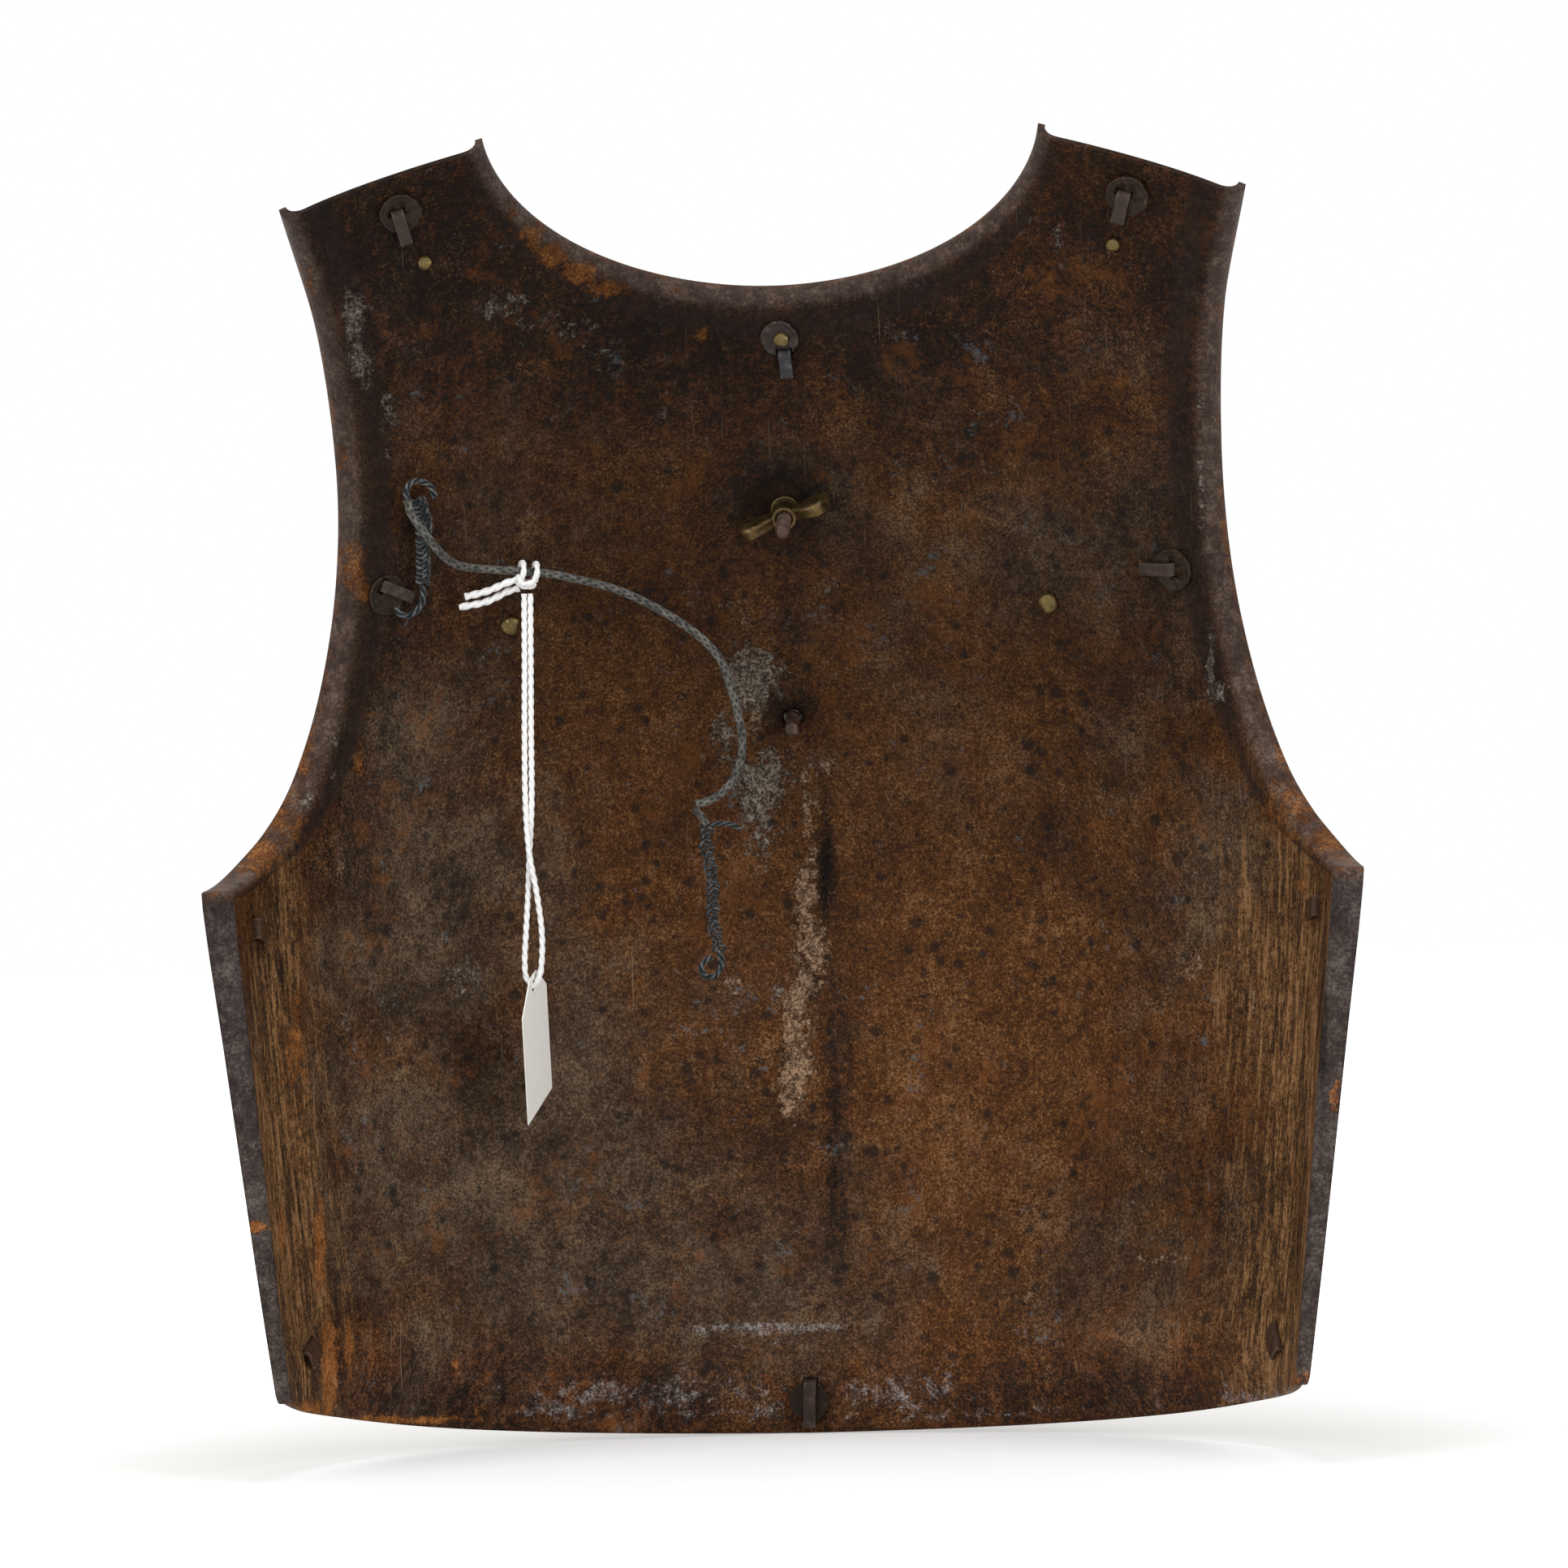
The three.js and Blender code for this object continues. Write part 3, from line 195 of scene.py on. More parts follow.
def plied(name, line, run, radius, plies, pitch, ring=cord_ring, groove=cord_groove_share, braid=False):
    """A tube whose surface has the ridges of twisted plies, or of plies that cross as in a plait."""
    angles = ring_angles(ring)[None, :]
    turn = 2 * math.pi * run[:, None] / (pitch * millimetre)
    ridges = np.abs(np.cos((plies * angles + turn) / 2))
    if braid:
        ridges = np.maximum(ridges, np.abs(np.cos((plies * angles - turn) / 2)))
    return tube_mesh(name, line, radius * millimetre * (1 - groove * (1 - ridges)), ridges)


def cord_piece(name, route, radius, plies=3, pitch=cord_pitch, braid=False, step=cord_step, longer=0):
    """A length of cord on a route. Its ends can run on past the route's."""
    if longer:
        first, last = Vector(route[0]), Vector(route[-1])
        first += (first - Vector(route[1])).normalized() * longer
        last += (last - Vector(route[-2])).normalized() * longer
        route = [tuple(first), *route[1:-1], tuple(last)]
    line, run = line_through(route, step * millimetre)
    return plied(name, line, run, radius, plies, pitch, braid=braid)


def joined(name, parts):
    """One object from several, under the first one's place."""
    with bpy.context.temp_override(active_object=parts[0], selected_editable_objects=parts):
        bpy.ops.object.join()
    parts[0].name = name
    return parts[0]


chain_step = 0.25
chain_strands = 3
chain_stitch = 5.2
strand_radius_share = 0.30
strand_swing_share = 0.86
strand_lift_share = 1.05
strand_pitch = 1.3
strand_ring = 10
strand_groove_share = 0.3
looseness_wave = 0.9


def chain(name, route, radius, stitch=chain_stitch, loose=0):
    """A chain of loops, which shows as three strands that cross in turn."""
    line, run = line_through(route, chain_step * millimetre)
    sides, ups = frames_on(line)
    strand_radius = radius * strand_radius_share
    strands = []
    for k in range(chain_strands):
        phase = 2 * math.pi * (run / (stitch * millimetre) + k / chain_strands)
        slack = 1 + loose * np.sin(run / millimetre * looseness_wave + k)
        swing = radius * strand_swing_share * millimetre * np.sin(phase) * slack
        lift = strand_radius * strand_lift_share * millimetre * np.sin(2 * phase)
        strands.append(plied(f"{name}_{k}", line + sides * swing[:, None] + ups * lift[:, None], run,
                             strand_radius, 2, strand_pitch, strand_ring, strand_groove_share))
    return joined(name, strands)


class Finish:
    """A material being put together from colours, noises and masks."""

    def __init__(self, name, roughness, metallic=0.0, specular=0.5):
        self.material = bpy.data.materials.new(name)
        self.material.use_nodes = True
        self.nodes, self.links = self.material.node_tree.nodes, self.material.node_tree.links
        self.shader = self.nodes["Principled BSDF"]
        self.fill(self.shader, {"Roughness": roughness, "Metallic": metallic,
                                "Specular IOR Level": specular})
        self.place = self.node("TexCoord", "Object", {})

    def fill(self, node, values):
        for name, value in values.items():
            socket = node.inputs[name]
            if isinstance(value, bpy.types.NodeSocket):
                self.links.new(value, socket)
            elif socket.type == "RGBA":
                socket.default_value = (*value, 1)
            else:
                socket.default_value = value

    def node(self, kind, output, values, **settings):
        """Adds a node with its settings and inputs, and gives back one of its outputs."""
        node = self.nodes.new("ShaderNode" + kind)
        for name, setting in settings.items():
            setattr(node, name, setting)
        self.fill(node, values)
        return node.outputs[output]

    def stretched(self, scale, turn=(0, 0, 0)):
        return self.node("Mapping", "Vector", {"Vector": self.place, "Scale": scale, "Rotation": turn})

    def noise(self, scale, detail, rough, vector=None, distortion=0.0):
        return self.node("TexNoise", "Fac", {"Vector": vector or self.place, "Scale": scale, "Detail": detail,
                                             "Roughness": rough, "Distortion": distortion})

    def cells(self, scale):
        return self.node("TexVoronoi", "Distance", {"Vector": self.place, "Scale": scale})

    def mask(self, name):
        return self.node("Attribute", "Fac", {}, attribute_name=name)

    def sharpness(self):
        return self.node("NewGeometry", "Pointiness", {})

    def spread(self, value, low, high, to_low=0.0, to_high=1.0):
        return self.node("MapRange", "Result", {"Value": value, "From Min": low, "From Max": high,
                                                "To Min": to_low, "To Max": to_high})

    def sum(self, *terms, level=0.0):
        """A level, and values that are each taken a number of times."""
        for value, amount in terms:
            level = self.node("Math", 0, {0: value, 1: amount, 2: level}, operation="MULTIPLY_ADD")
        return level

    def varied(self, value, *noises):
        """A value that noises move up and down about their middle, each by its own amount."""
        return self.sum((value, 1), *noises, level=-0.5 * sum(amount for _, amount in noises))

    def larger(self, first, second):
        return self.node("Math", 0, {0: first, 1: second}, operation="MAXIMUM")

    def times(self, first, second):
        return self.node("Math", 0, {0: first, 1: second}, operation="MULTIPLY", use_clamp=True)

    def blend(self, amount, first, second):
        return self.node("Mix", "Result", {"Factor": amount, "A": first, "B": second}, data_type="RGBA")

    def scaled(self, colour, amount):
        return self.node("VectorMath", "Vector", {"Vector": colour, "Scale": amount}, operation="SCALE")

    def ramp(self, value, *stops):
        colour = self.node("ValToRGB", "Color", {"Fac": value})
        elements = colour.node.color_ramp.elements
        while len(elements) < len(stops):
            elements.new(0.5)
        for element, (position, shade) in zip(elements, stops):
            element.position = position
            element.color = (*shade, 1)
        return colour

    def bumped(self, height, distance, strength=1.0, below=None):
        under = {} if below is None else {"Normal": below}
        return self.node("Bump", "Normal", {"Height": height, "Distance": distance * millimetre,
                                            "Strength": strength, **under})

    def done(self, colour, **looks):
        self.fill(self.shader, {"Base Color": colour, **looks})
        return self.material


def cord_material(name, dark, light, groove, grain, fuzz):
    """Cotton or wool cord: painted shade in the grooves between the plies, pale worn fibres and no gloss."""
    f = Finish(name, roughness=0.95, specular=0.15)
    fibres = f.noise(grain, 4, 0.5)
    yarn = f.ramp(fibres, (0.35, dark), (0.68, light))
    colour = f.blend(f.spread(f.mask("ridge"), 0.35, 0.92), groove, yarn)
    return f.done(colour, **{"Normal": f.bumped(fibres, 0.15, 0.5), "Sheen Weight": fuzz,
                             "Sheen Roughness": 0.6})


# each cord's third colour is the painted shade of its grooves
grey_cord = cord_material("grey_plaited_cord", (0.045, 0.044, 0.040), (0.19, 0.18, 0.155),
                          (0.028, 0.026, 0.023), 420, 0.08)
blue_cord = cord_material("blue_black_cord", (0.022, 0.026, 0.028), (0.16, 0.17, 0.17),
                          (0.004, 0.005, 0.006), 520, 0.08)


def dressed(piece, material, body, slot, *nodes):
    """Gives a new piece its material and its body, and hides the solids that it stands for. The slot is not
    used.
    """
    piece.data.materials.clear()
    piece.data.materials.append(material)
    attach(piece, body)
    if nodes:
        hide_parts(*nodes)
    return piece


def of_dark_cord(piece, node, material=blue_cord):
    return dressed(piece, material, "armour", "dark_cord", node)


plait_plies = 4
plait_pitch = 4
main_cord_step = 0.22
loop_end_overlap = 0.8
cut_end_overlap = 1.6
tail_stitch = 6.4
tail_looseness_share = 0.35
tie = of_dark_cord(cord_piece("tie_loop", tie_route, tie_radius), "cord_tie")
hook = of_dark_cord(cord_piece("hook_loop", hook_route, tie_radius, longer=loop_end_overlap), "cord_hook")
lower_chain = of_dark_cord(chain("lower_chain", lower_chain_route, lower_chain_radius), "cord_chain_lower")
upper_chain = of_dark_cord(chain("upper_chain", upper_chain_route, upper_chain_radius), "cord_chain_upper")
fold = of_dark_cord(cord_piece("cord_fold_back", fold_route, cord_radius, plait_plies, plait_pitch,
                               braid=True, longer=cut_end_overlap), "cord_fold", grey_cord)
short_end = of_dark_cord(cord_piece("cut_short_end", short_end_route, short_end_radius,
                                    longer=cut_end_overlap), "cord_short_end")
tail_chain = of_dark_cord(chain("tail_chain", tail_route, tail_radius, tail_stitch, tail_looseness_share),
                          "cord_chain_tail")
end_loop = of_dark_cord(cord_piece("open_end_loop", end_loop_route, tie_radius, longer=loop_end_overlap),
                        "cord_end_loop")
main_cord = of_dark_cord(cord_piece("plaited_cord", cord_route, cord_radius, plait_plies, plait_pitch,
                                    braid=True, step=main_cord_step), "cord_main", grey_cord)
main_line, _ = line_through(cord_route, main_cord_step * millimetre)


def length_of(line):
    return float(np.linalg.norm(np.diff(line, axis=0), axis=1).sum())


length_of(main_line)

# White string
# A soft white cotton string is hitched over the dark cord. Its two cut ends point to the left, and its
# doubled strands hang down to carry the tag.
string_radius = 1.02
string_pitch = 3.4
cut_end_radius = 1.3
cut_end_pitch = 3.8
string_plies = 2
string_route = [(-86.6, -38, 285.6), (-87, -38, 262), (-87.5, -38, 240), (-87.7, -38.2, 215),
                (-86.7, -39.4, 199), (-84.6, -38.8, 186), (-83.2, -38.4, 172.6), (-83.5, -38.4, 163),
                (-84.4, -38.4, 158), (-86.6, -38, 155.2), (-88.8, -37.6, 158), (-89.2, -37.6, 163),
                (-88.6, -37.6, 172.6), (-87.6, -37.2, 186), (-86.9, -36.6, 199), (-85.7, -37.8, 215),
                (-85.3, -38, 240), (-84.9, -38, 262), (-84.5, -38, 285.6)]
upper_end_route = [(-88.3, -38.8, 290.4), (-92, -39.4, 289.4), (-98.5, -39.6, 286.8), (-106.2, -39, 285)]
lower_end_route = [(-88.2, -37.4, 287.6), (-92, -37.2, 286.6), (-99, -37, 283.4), (-108.4, -37.4, 281.6)]
# the third colour is the painted shade of the string's grooves
white_cotton = cord_material("white_cotton_string", (0.93, 0.93, 0.92), (1, 1, 0.99),
                             (0.93, 0.92, 0.90), 1500, 0.8)
string_loop = cord_piece("tag_string_loop", string_route, string_radius, string_plies, string_pitch)
string_line, _ = line_through(string_route, cord_step * millimetre)
dressed(string_loop, white_cotton, "tag_string", "white_cotton", "string_loop")
length_of(string_line)
for name, route, node in (("upper_cut_end", upper_end_route, "string_upper_end"),
                          ("lower_cut_end", lower_end_route, "string_lower_end")):
    end = cord_piece(name, route, cut_end_radius, string_plies, cut_end_pitch)
    dressed(end, white_cotton, "armour", "white_cotton", node)

# White string hitch
# The doubled string goes over the cord on both sides of its own bight, which crosses in front and is
# pulled down over the knot of the cut ends.
hitch_place = (-85, -37.4, 292.9)
hitch_axis = Vector((math.cos(0.3), math.sin(0.3), -0.09)).normalized()
hitch_ring_radius = 2.8
hitch_ring_gap = 2.3
hitch_ring_start = math.radians(-70)
hitch_ring_end = math.radians(250)
hitch_ring_points = 60
above = hitch_axis.cross(Vector((0, -1, 0))).normalized()
if above.z < 0:
    above.negate()
ahead = Vector((0, -1, 0))
ahead = (ahead - hitch_axis * ahead.dot(hitch_axis)).normalized()
rings = []
for side in (-1, 1):
    centre = Vector(hitch_place) + plate_shift + hitch_axis * side * hitch_ring_gap
    turns = np.linspace(hitch_ring_start, hitch_ring_end, hitch_ring_points)
    loop = np.array([centre + (ahead * math.cos(t) + above * math.sin(t)) * hitch_ring_radius
                     for t in turns]) * millimetre
    run = (turns - turns[0]) * hitch_ring_radius * millimetre
    rings.append(plied(f"hitch_ring_{side}", loop, run, string_radius, string_plies, string_pitch))
bight_route = [(-88.2, -39.4, 291.6), (-87.6, -41.2, 289.6), (-85.6, -41.9, 288.6), (-83.2, -41.2, 289.6),
               (-82.2, -39.6, 291.4)]
knot_route = [(-88.6, -37.6, 289.4), (-87, -39.6, 288.2), (-84.6, -39.8, 287.8), (-83.4, -37.8, 288.6),
              (-84.8, -36.2, 289.6), (-87.4, -36.4, 289.2)]
bight = cord_piece("hitch_bight", bight_route, string_radius, string_plies, string_pitch)
knot = cord_piece("hitch_knot", knot_route, string_radius, string_plies, string_pitch)
dressed(joined("string_hitch_loops", rings + [bight, knot]), white_cotton, "armour", "white_cotton",
        "string_hitch")

# Forged iron plate
# One sheet of iron, hammered to the chest and browned, with a medial ridge, a turned waist flange,
# outward side flanges, and rolled neck and armhole edges.
plate_height = 432
plate_half_width = 175.6
plate_depth = 125
plate_thickness = 2.4
centre_line_shares = [(0, -0.048), (0.088, 0.005), (0.139, 0.048), (0.208, 0.096), (0.278, 0.124),
                      (0.347, 0.132), (0.463, 0.104), (0.569, 0.03), (0.718, -0.144), (0.81, -0.284),
                      (0.912, -0.478), (0.995, -0.688), (1.065, -0.904)]
side_drop_shares = [(0.435, 1.089), (0.579, 1.064), (0.694, 1.016), (0.787, 0.896), (0.88, 0.672),
                    (0.949, 0.52), (1.065, 0.4)]
half_width_shares = [(0, 0.898), (0.139, 0.933), (0.31, 0.972), (0.435, 1), (0.579, 1.018), (1.065, 1.035)]
armhole_shares = [(0.435, 1), (0.447, 0.974), (0.47, 0.925), (0.514, 0.872), (0.588, 0.817), (0.671, 0.781),
                  (0.759, 0.77), (0.861, 0.788), (0.947, 0.838), (0.99, 0.866), (1.03, 0.89)]
roundness = 2.1
ridge_height = 3
ridge_half_width = 75
bottom_rise = 25
bottom_trim = 0.4
flange_height = 36.6
flange_taper_share = 0.75
flange_flare = 12
corner_height = 188
side_flange_top = 10
side_flange_bottom = 4.4
side_bend = 2.8
bottom_corner = 5
roll_radius = 7
armhole_lip = 1.5
neck_lip = 1
roll_blend = 16
armhole_end_share = 0.985
neck_half_width = 96.5
neck_depth = 56
neck_height = 375.6
neck_round_share = 0.84
neck_column_share = 11 / 15
shoulder_spare = 16
shoulder_lean = 0.4
shoulder_shift = -2.6
shoulder_shift_shares = [(0, 0), (0.7, 0), (0.96, 1), (1.1, 1)]
shoulder_inner_height = 426.5
shoulder_outer_height = 409.5
column_lean = 9
corner_row_share = 0.33
flange_taper_power = 1.3
flange_flare_power = 4


def along(table, where):
    """Smooth curve through a table of (position, value)."""
    x, y = np.array(table).T
    before, after = np.maximum(np.arange(len(x)) - 1, 0), np.minimum(np.arange(len(x)) + 1, len(x) - 1)
    slope = (y[after] - y[before]) / (x[after] - x[before])
    t = np.clip(where, x[0], x[-1])
    i = np.clip(np.searchsorted(x, t) - 1, 0, len(x) - 2)
    width = x[i + 1] - x[i]
    q = (t - x[i]) / width
    ease = q * q * (3 - 2 * q)
    return ((1 - ease) * y[i] + ease * y[i + 1] + (q ** 3 - 2 * q ** 2 + q) * width * slope[i]
            + (q ** 3 - q ** 2) * width * slope[i + 1])


def smooth_step(q):
    q = np.clip(q, 0, 1)
    return q * q * (3 - 2 * q)


def fall_back(turn):
    return 1 - np.maximum(np.cos(np.abs(turn) * math.pi / 2), 0) ** (2 / roundness)


def bottom_at(turn):
    return bottom_rise * fall_back(turn)


def crease_at(turn):
    return bottom_at(turn) + flange_height * (1 - flange_taper_share * np.abs(turn) ** flange_taper_power)


def level_at(z):
    return plate_depth * along(centre_line_shares, z / plate_height)


def side_drop_at(z):
    corner_share = corner_height / plate_height
    start = level_at(corner_height) + plate_depth - side_bend
    above = start * along(side_drop_shares, z / plate_height) / along(side_drop_shares, corner_share)
    return np.where(z / plate_height < corner_share, level_at(z) + plate_depth - side_bend, above)


def surface_at(turn, z):
    """Points of the inner face in plate millimetres: turn is -1 at the left side and 1 at the right."""
    wide = (plate_half_width * along(half_width_shares, z / plate_height)
            * np.sin(np.abs(turn) * math.pi / 2) ** (2 / roundness))
    y = level_at(z) - side_drop_at(z) * fall_back(turn)
    y = y + ridge_height * np.maximum(1 - wide / ridge_half_width, 0) ** 2
    below = np.maximum(1 - (z - bottom_at(turn)) / (crease_at(turn) - bottom_at(turn)), 0)
    y = y + flange_flare * below * (1 - np.abs(turn) ** flange_flare_power)
    x = np.sign(turn) * wide + shoulder_shift * along(shoulder_shift_shares, z / plate_height)
    return np.stack(np.broadcast_arrays(x, y, z), axis=-1)


def turn_at(x, z):
    share = np.clip(np.abs(x) / (plate_half_width * along(half_width_shares, z / plate_height)), 0, 1)
    return np.sign(x) * np.arcsin(share ** (roundness / 2)) / (math.pi / 2)


def unit(vectors):
    return vectors / np.linalg.norm(vectors, axis=-1, keepdims=True)


probe_turn = 0.004
probe_rise = plate_height * probe_turn / 4


def normal_at(turn, z):
    """Unit vectors that point away from the wearer."""
    low, high = np.clip(turn - probe_turn, -1, 1), np.clip(turn + probe_turn, -1, 1)
    across = surface_at(high, z) - surface_at(low, z)
    upright = surface_at(turn, z + probe_rise) - surface_at(turn, z - probe_rise)
    return unit(np.cross(upright, across))


armhole_steps = np.linspace(0, 1, 241)
armhole_z = corner_height + (armhole_end_share * plate_height - corner_height) * armhole_steps ** 2
armhole_turn = turn_at(plate_half_width * along(armhole_shares, armhole_z / plate_height), armhole_z)
armhole_turn[0] = 1
armhole_run = np.concatenate([[0], np.cumsum(np.linalg.norm(
    np.diff(surface_at(armhole_turn, armhole_z), axis=0), axis=1))])


def side_line(share):
    """Turn and height of the plate's side for a row share: below 0 the side, above 0 the armhole."""
    low = crease_at(1.0) + (corner_height - crease_at(1.0)) * (1 + share)
    length = np.clip(share, 0, 1) * armhole_run[-1]
    turn = np.interp(length, armhole_run, armhole_turn)
    return np.where(share < 0, 1, turn), np.where(share < 0, low, np.interp(length, armhole_run, armhole_z))


def top_line(share):
    """Turn and height of the neck line, and past it of the shoulder, for a column share."""
    neck = np.minimum(share / neck_column_share, 1)
    angle = -math.pi / 2 * (1 - np.minimum(neck / neck_round_share, 1))
    spare = np.maximum(neck - neck_round_share, 0) / (1 - neck_round_share) * shoulder_spare
    x = neck_half_width * np.cos(angle) + spare * shoulder_lean
    z = neck_height + neck_depth * (1 + np.sin(angle)) + spare
    q = np.clip((share - neck_column_share) / (1 - neck_column_share), 0, 1)
    end_turn, end_z = side_line(1.0)
    turn = np.abs(turn_at(x, z))
    return turn + (end_turn - turn) * q, z + (end_z - z) * q


def patch_at(column, row):
    """Turn and height for a column share, 0 to 1, and a row share, -1 at the crease to 1 at the top."""
    row_share = corner_row_share + row * np.where(row < 0, corner_row_share, 1 - corner_row_share)
    edge_turn, edge_z = side_line(row)
    high_turn, high_z = top_line(column)
    corner_turn, corner_z = top_line(1.0)
    lean = row_share ** column_lean
    turn = edge_turn * (column * (1 - lean) + high_turn / corner_turn * lean)
    level = crease_at(column) * (1 - row_share) + high_z * row_share
    extra = edge_z - crease_at(1.0) * (1 - row_share) - corner_z * row_share
    return turn, level + extra * column


half_columns = 96
flange_rows = 14
rows_to_corner = 60
rows_above = 96
bend_steps = 6
lip_steps = 3
roll_steps = bend_steps + lip_steps
crowding_share = 0.25
column_shares = np.linspace(0, 1, half_columns + 1)
column_shares = (np.sin(column_shares * math.pi / 2) * crowding_share + column_shares * (1 - crowding_share))
signed = np.concatenate([-column_shares[:0:-1], column_shares])
across_shares = np.abs(signed)
row_shares = np.concatenate([np.linspace(-1, 0, rows_to_corner, endpoint=False),
                             np.linspace(0, 1, rows_above)])
column_grid, row_grid = np.meshgrid(across_shares, row_shares)
turn_grid, z_grid = patch_at(column_grid, row_grid)
flange_share = np.linspace(0, 1, flange_rows, endpoint=False)[:, None]
flange_z = bottom_at(across_shares) + (crease_at(across_shares) - bottom_at(across_shares)) * flange_share
turn_grid = np.vstack([np.broadcast_to(across_shares, flange_z.shape), turn_grid]) * np.sign(signed)
z_grid = np.vstack([flange_z, z_grid])


def roll_profile(radius, lip):
    """Steps of a turned edge: how far along the plate, and how far away from the wearer."""
    bend = np.arange(1, bend_steps + 1) / bend_steps * math.pi / 2
    straight = np.arange(1, lip_steps + 1) / lip_steps
    radius, lip = np.atleast_1d(radius)[:, None], np.atleast_1d(lip)[:, None]
    off = np.concatenate([radius * np.sin(bend), radius + 0 * straight], axis=1)
    out = np.concatenate([radius * (1 - np.cos(bend)), radius + lip * straight], axis=1)
    return off, out


def turned_edge(turns, heights, closed_side, radius, lip):
    """Points of an edge that turns away from the wearer, past each point of a line on the plate."""
    here = surface_at(turns, heights)
    run = unit(np.vstack([here[1:], here[-1:]]) - np.vstack([here[:1], here[:-1]]))
    normal = normal_at(turns, heights)
    off = unit(np.cross(normal, run) * closed_side)
    t, n = roll_profile(radius, lip)
    return here[:, None] + off[:, None] * t[..., None] + normal[:, None] * n[..., None]


side_z = z_grid[:, 0]
rolled = smooth_step((side_z - corner_height) / roll_blend)
climb = np.clip((side_z - bottom_rise) / (corner_height - bottom_rise), 0, 1)
rounding = np.sqrt(1 - (1 - np.clip((side_z - bottom_rise) / bottom_corner, 0, 1)) ** 2)
flange_lip = (side_flange_bottom + (side_flange_top - side_flange_bottom) * climb - side_bend) * rounding
edge_radius = side_bend + (roll_radius - side_bend) * rolled
edge_lip = flange_lip + (armhole_lip - flange_lip) * rolled
left_edge = turned_edge(turn_grid[:, 0], side_z, -1, edge_radius, edge_lip)[:, ::-1]
right_edge = turned_edge(turn_grid[:, -1], side_z, 1, edge_radius, edge_lip)
top_edge = turned_edge(turn_grid[-1], z_grid[-1], -1, roll_radius, neck_lip)
plate_grid = np.concatenate([left_edge, surface_at(turn_grid, z_grid), right_edge], axis=1)
top_step = top_edge - plate_grid[-1, roll_steps:-roll_steps][:, None]
top_step = np.concatenate([np.repeat(top_step[:1], roll_steps, 0), top_step,
                           np.repeat(top_step[-1:], roll_steps, 0)])
plate_grid = np.concatenate([plate_grid, (plate_grid[-1][:, None] + top_step).transpose(1, 0, 2)])


# How far each grid point lies past the line where the edge starts to turn, in millimetres. Below the
# armholes' corners the side flanges count three times, so that their mask grows quickly.
turn_start = 1.2
flange_growth = 3
inner_part = plate_grid[:-roll_steps, roll_steps:-roll_steps]
past_side = -np.minimum(np.linalg.norm(inner_part - inner_part[:, :1], axis=2),
                        np.linalg.norm(inner_part - inner_part[:, -1:], axis=2))
past_top = -np.linalg.norm(inner_part - inner_part[-1:], axis=2)
armhole_row = right_edge[rows_to_corner + flange_rows + rows_above // 2]
turned_run = np.linalg.norm(np.diff(armhole_row, axis=0), axis=1)
turned_run = turn_start + np.concatenate([[0], np.cumsum(turned_run)])
past_side = np.pad(past_side, ((0, roll_steps), (roll_steps, roll_steps)), "edge")
past_side[:, :roll_steps] = turned_run[::-1]
past_side[:, -roll_steps:] = turned_run
past_top = np.pad(past_top, ((0, roll_steps), (roll_steps, roll_steps)), "edge")
past_top[-roll_steps:] = turned_run[:, None]
above_corner = np.arange(len(plate_grid))[:, None] > flange_rows + rows_to_corner
past_edge = np.where(above_corner, np.maximum(past_side, past_top), past_side * flange_growth)


def grid_piece(points):
    """A sheet whose vertices stand at a grid of points, given in plate millimetres."""
    rows, columns = points.shape[:2]
    places = (points + np.array(plate_shift)) * millimetre
    bm = bmesh.new()
    bmesh.ops.create_grid(bm, x_segments=columns - 1, y_segments=rows - 1, size=0.5)
    for vertex in bm.verts:
        i = round((vertex.co.y + 0.5) * (rows - 1))
        j = round((vertex.co.x + 0.5) * (columns - 1))
        vertex.co = places[i, j]
    return bm


def placed_frame(x_share, z_share, angle=0):
    """A fastener's frame on the inner face: x right and y up as seen from inside, z to the wearer."""
    z = plate_height * z_share
    shift = shoulder_shift * along(shoulder_shift_shares, z_share)
    turn = turn_at(plate_half_width * x_share - shift, z)
    inward = Vector(-normal_at(turn, z))
    across = Vector((1, 0, 0))
    across = (across - inward * across.dot(inward)).normalized()
    axes = Matrix((across, inward.cross(across), inward)).transposed().to_4x4()
    origin = (Vector(surface_at(turn, z)) + plate_shift) * millimetre
    return Matrix.Translation(origin) @ axes @ Matrix.Rotation(math.radians(angle), 4, "Z")


def moved(x, y, z):
    return Matrix.Translation(Vector((x, y, z)) * millimetre)


def add_block(bm, place, x, y, z):
    """A box about a frame's origin."""
    size = Matrix.Diagonal((x * millimetre, y * millimetre, z * millimetre, 1))
    bmesh.ops.create_cube(bm, size=1, matrix=place @ size)


# the slots that the tangs come through, and the bores of the rivets, the stud and the peg
tangs = [("neck", 0.0116, 0.8451, -85, 4.2), ("shoulder_left", -0.694, 0.9509, -79, 4.2),
         ("shoulder_right", 0.659, 0.9509, -102, 4.5), ("armhole_left", -0.761, 0.67, -28, 4),
         ("armhole_right", 0.742, 0.668, 186, 4.4), ("bottom", 0.0064, 0.0436, -92, 4.2),
         ("side_upper_left", -0.981, 0.411, 8, 7), ("side_upper_right", 0.983, 0.411, 172, 7),
         ("side_lower_left", -0.901, 0.097, -44, 11), ("side_lower_right", 0.893, 0.0896, 203, 11.5)]
tang_thickness = 1.6
gap = 0.3
stud_height_share = 0.724
peg_height_share = 0.5615
bores = [(-0.528, 0.638, 2.6), (0.498, 0.645, 2.6), (-0.649, 0.9116, 1.7), (0.634, 0.9116, 1.7),
         (0.0064, 0.853, 1.7), (0, stud_height_share, 2.8), (0, peg_height_share, 3.1)]
bore_sides = 32
cutter_depth = 12
shoulder_cut_reach = 90


def plate_point(x, z):
    return Vector(surface_at(turn_at(x, z), z))


def add_bore_tools(bm):
    for x_share, z_share, radius in bores:
        bmesh.ops.create_cone(bm, cap_ends=True, segments=bore_sides, radius1=radius * millimetre,
                              radius2=radius * millimetre, depth=cutter_depth * millimetre,
                              matrix=placed_frame(x_share, z_share))


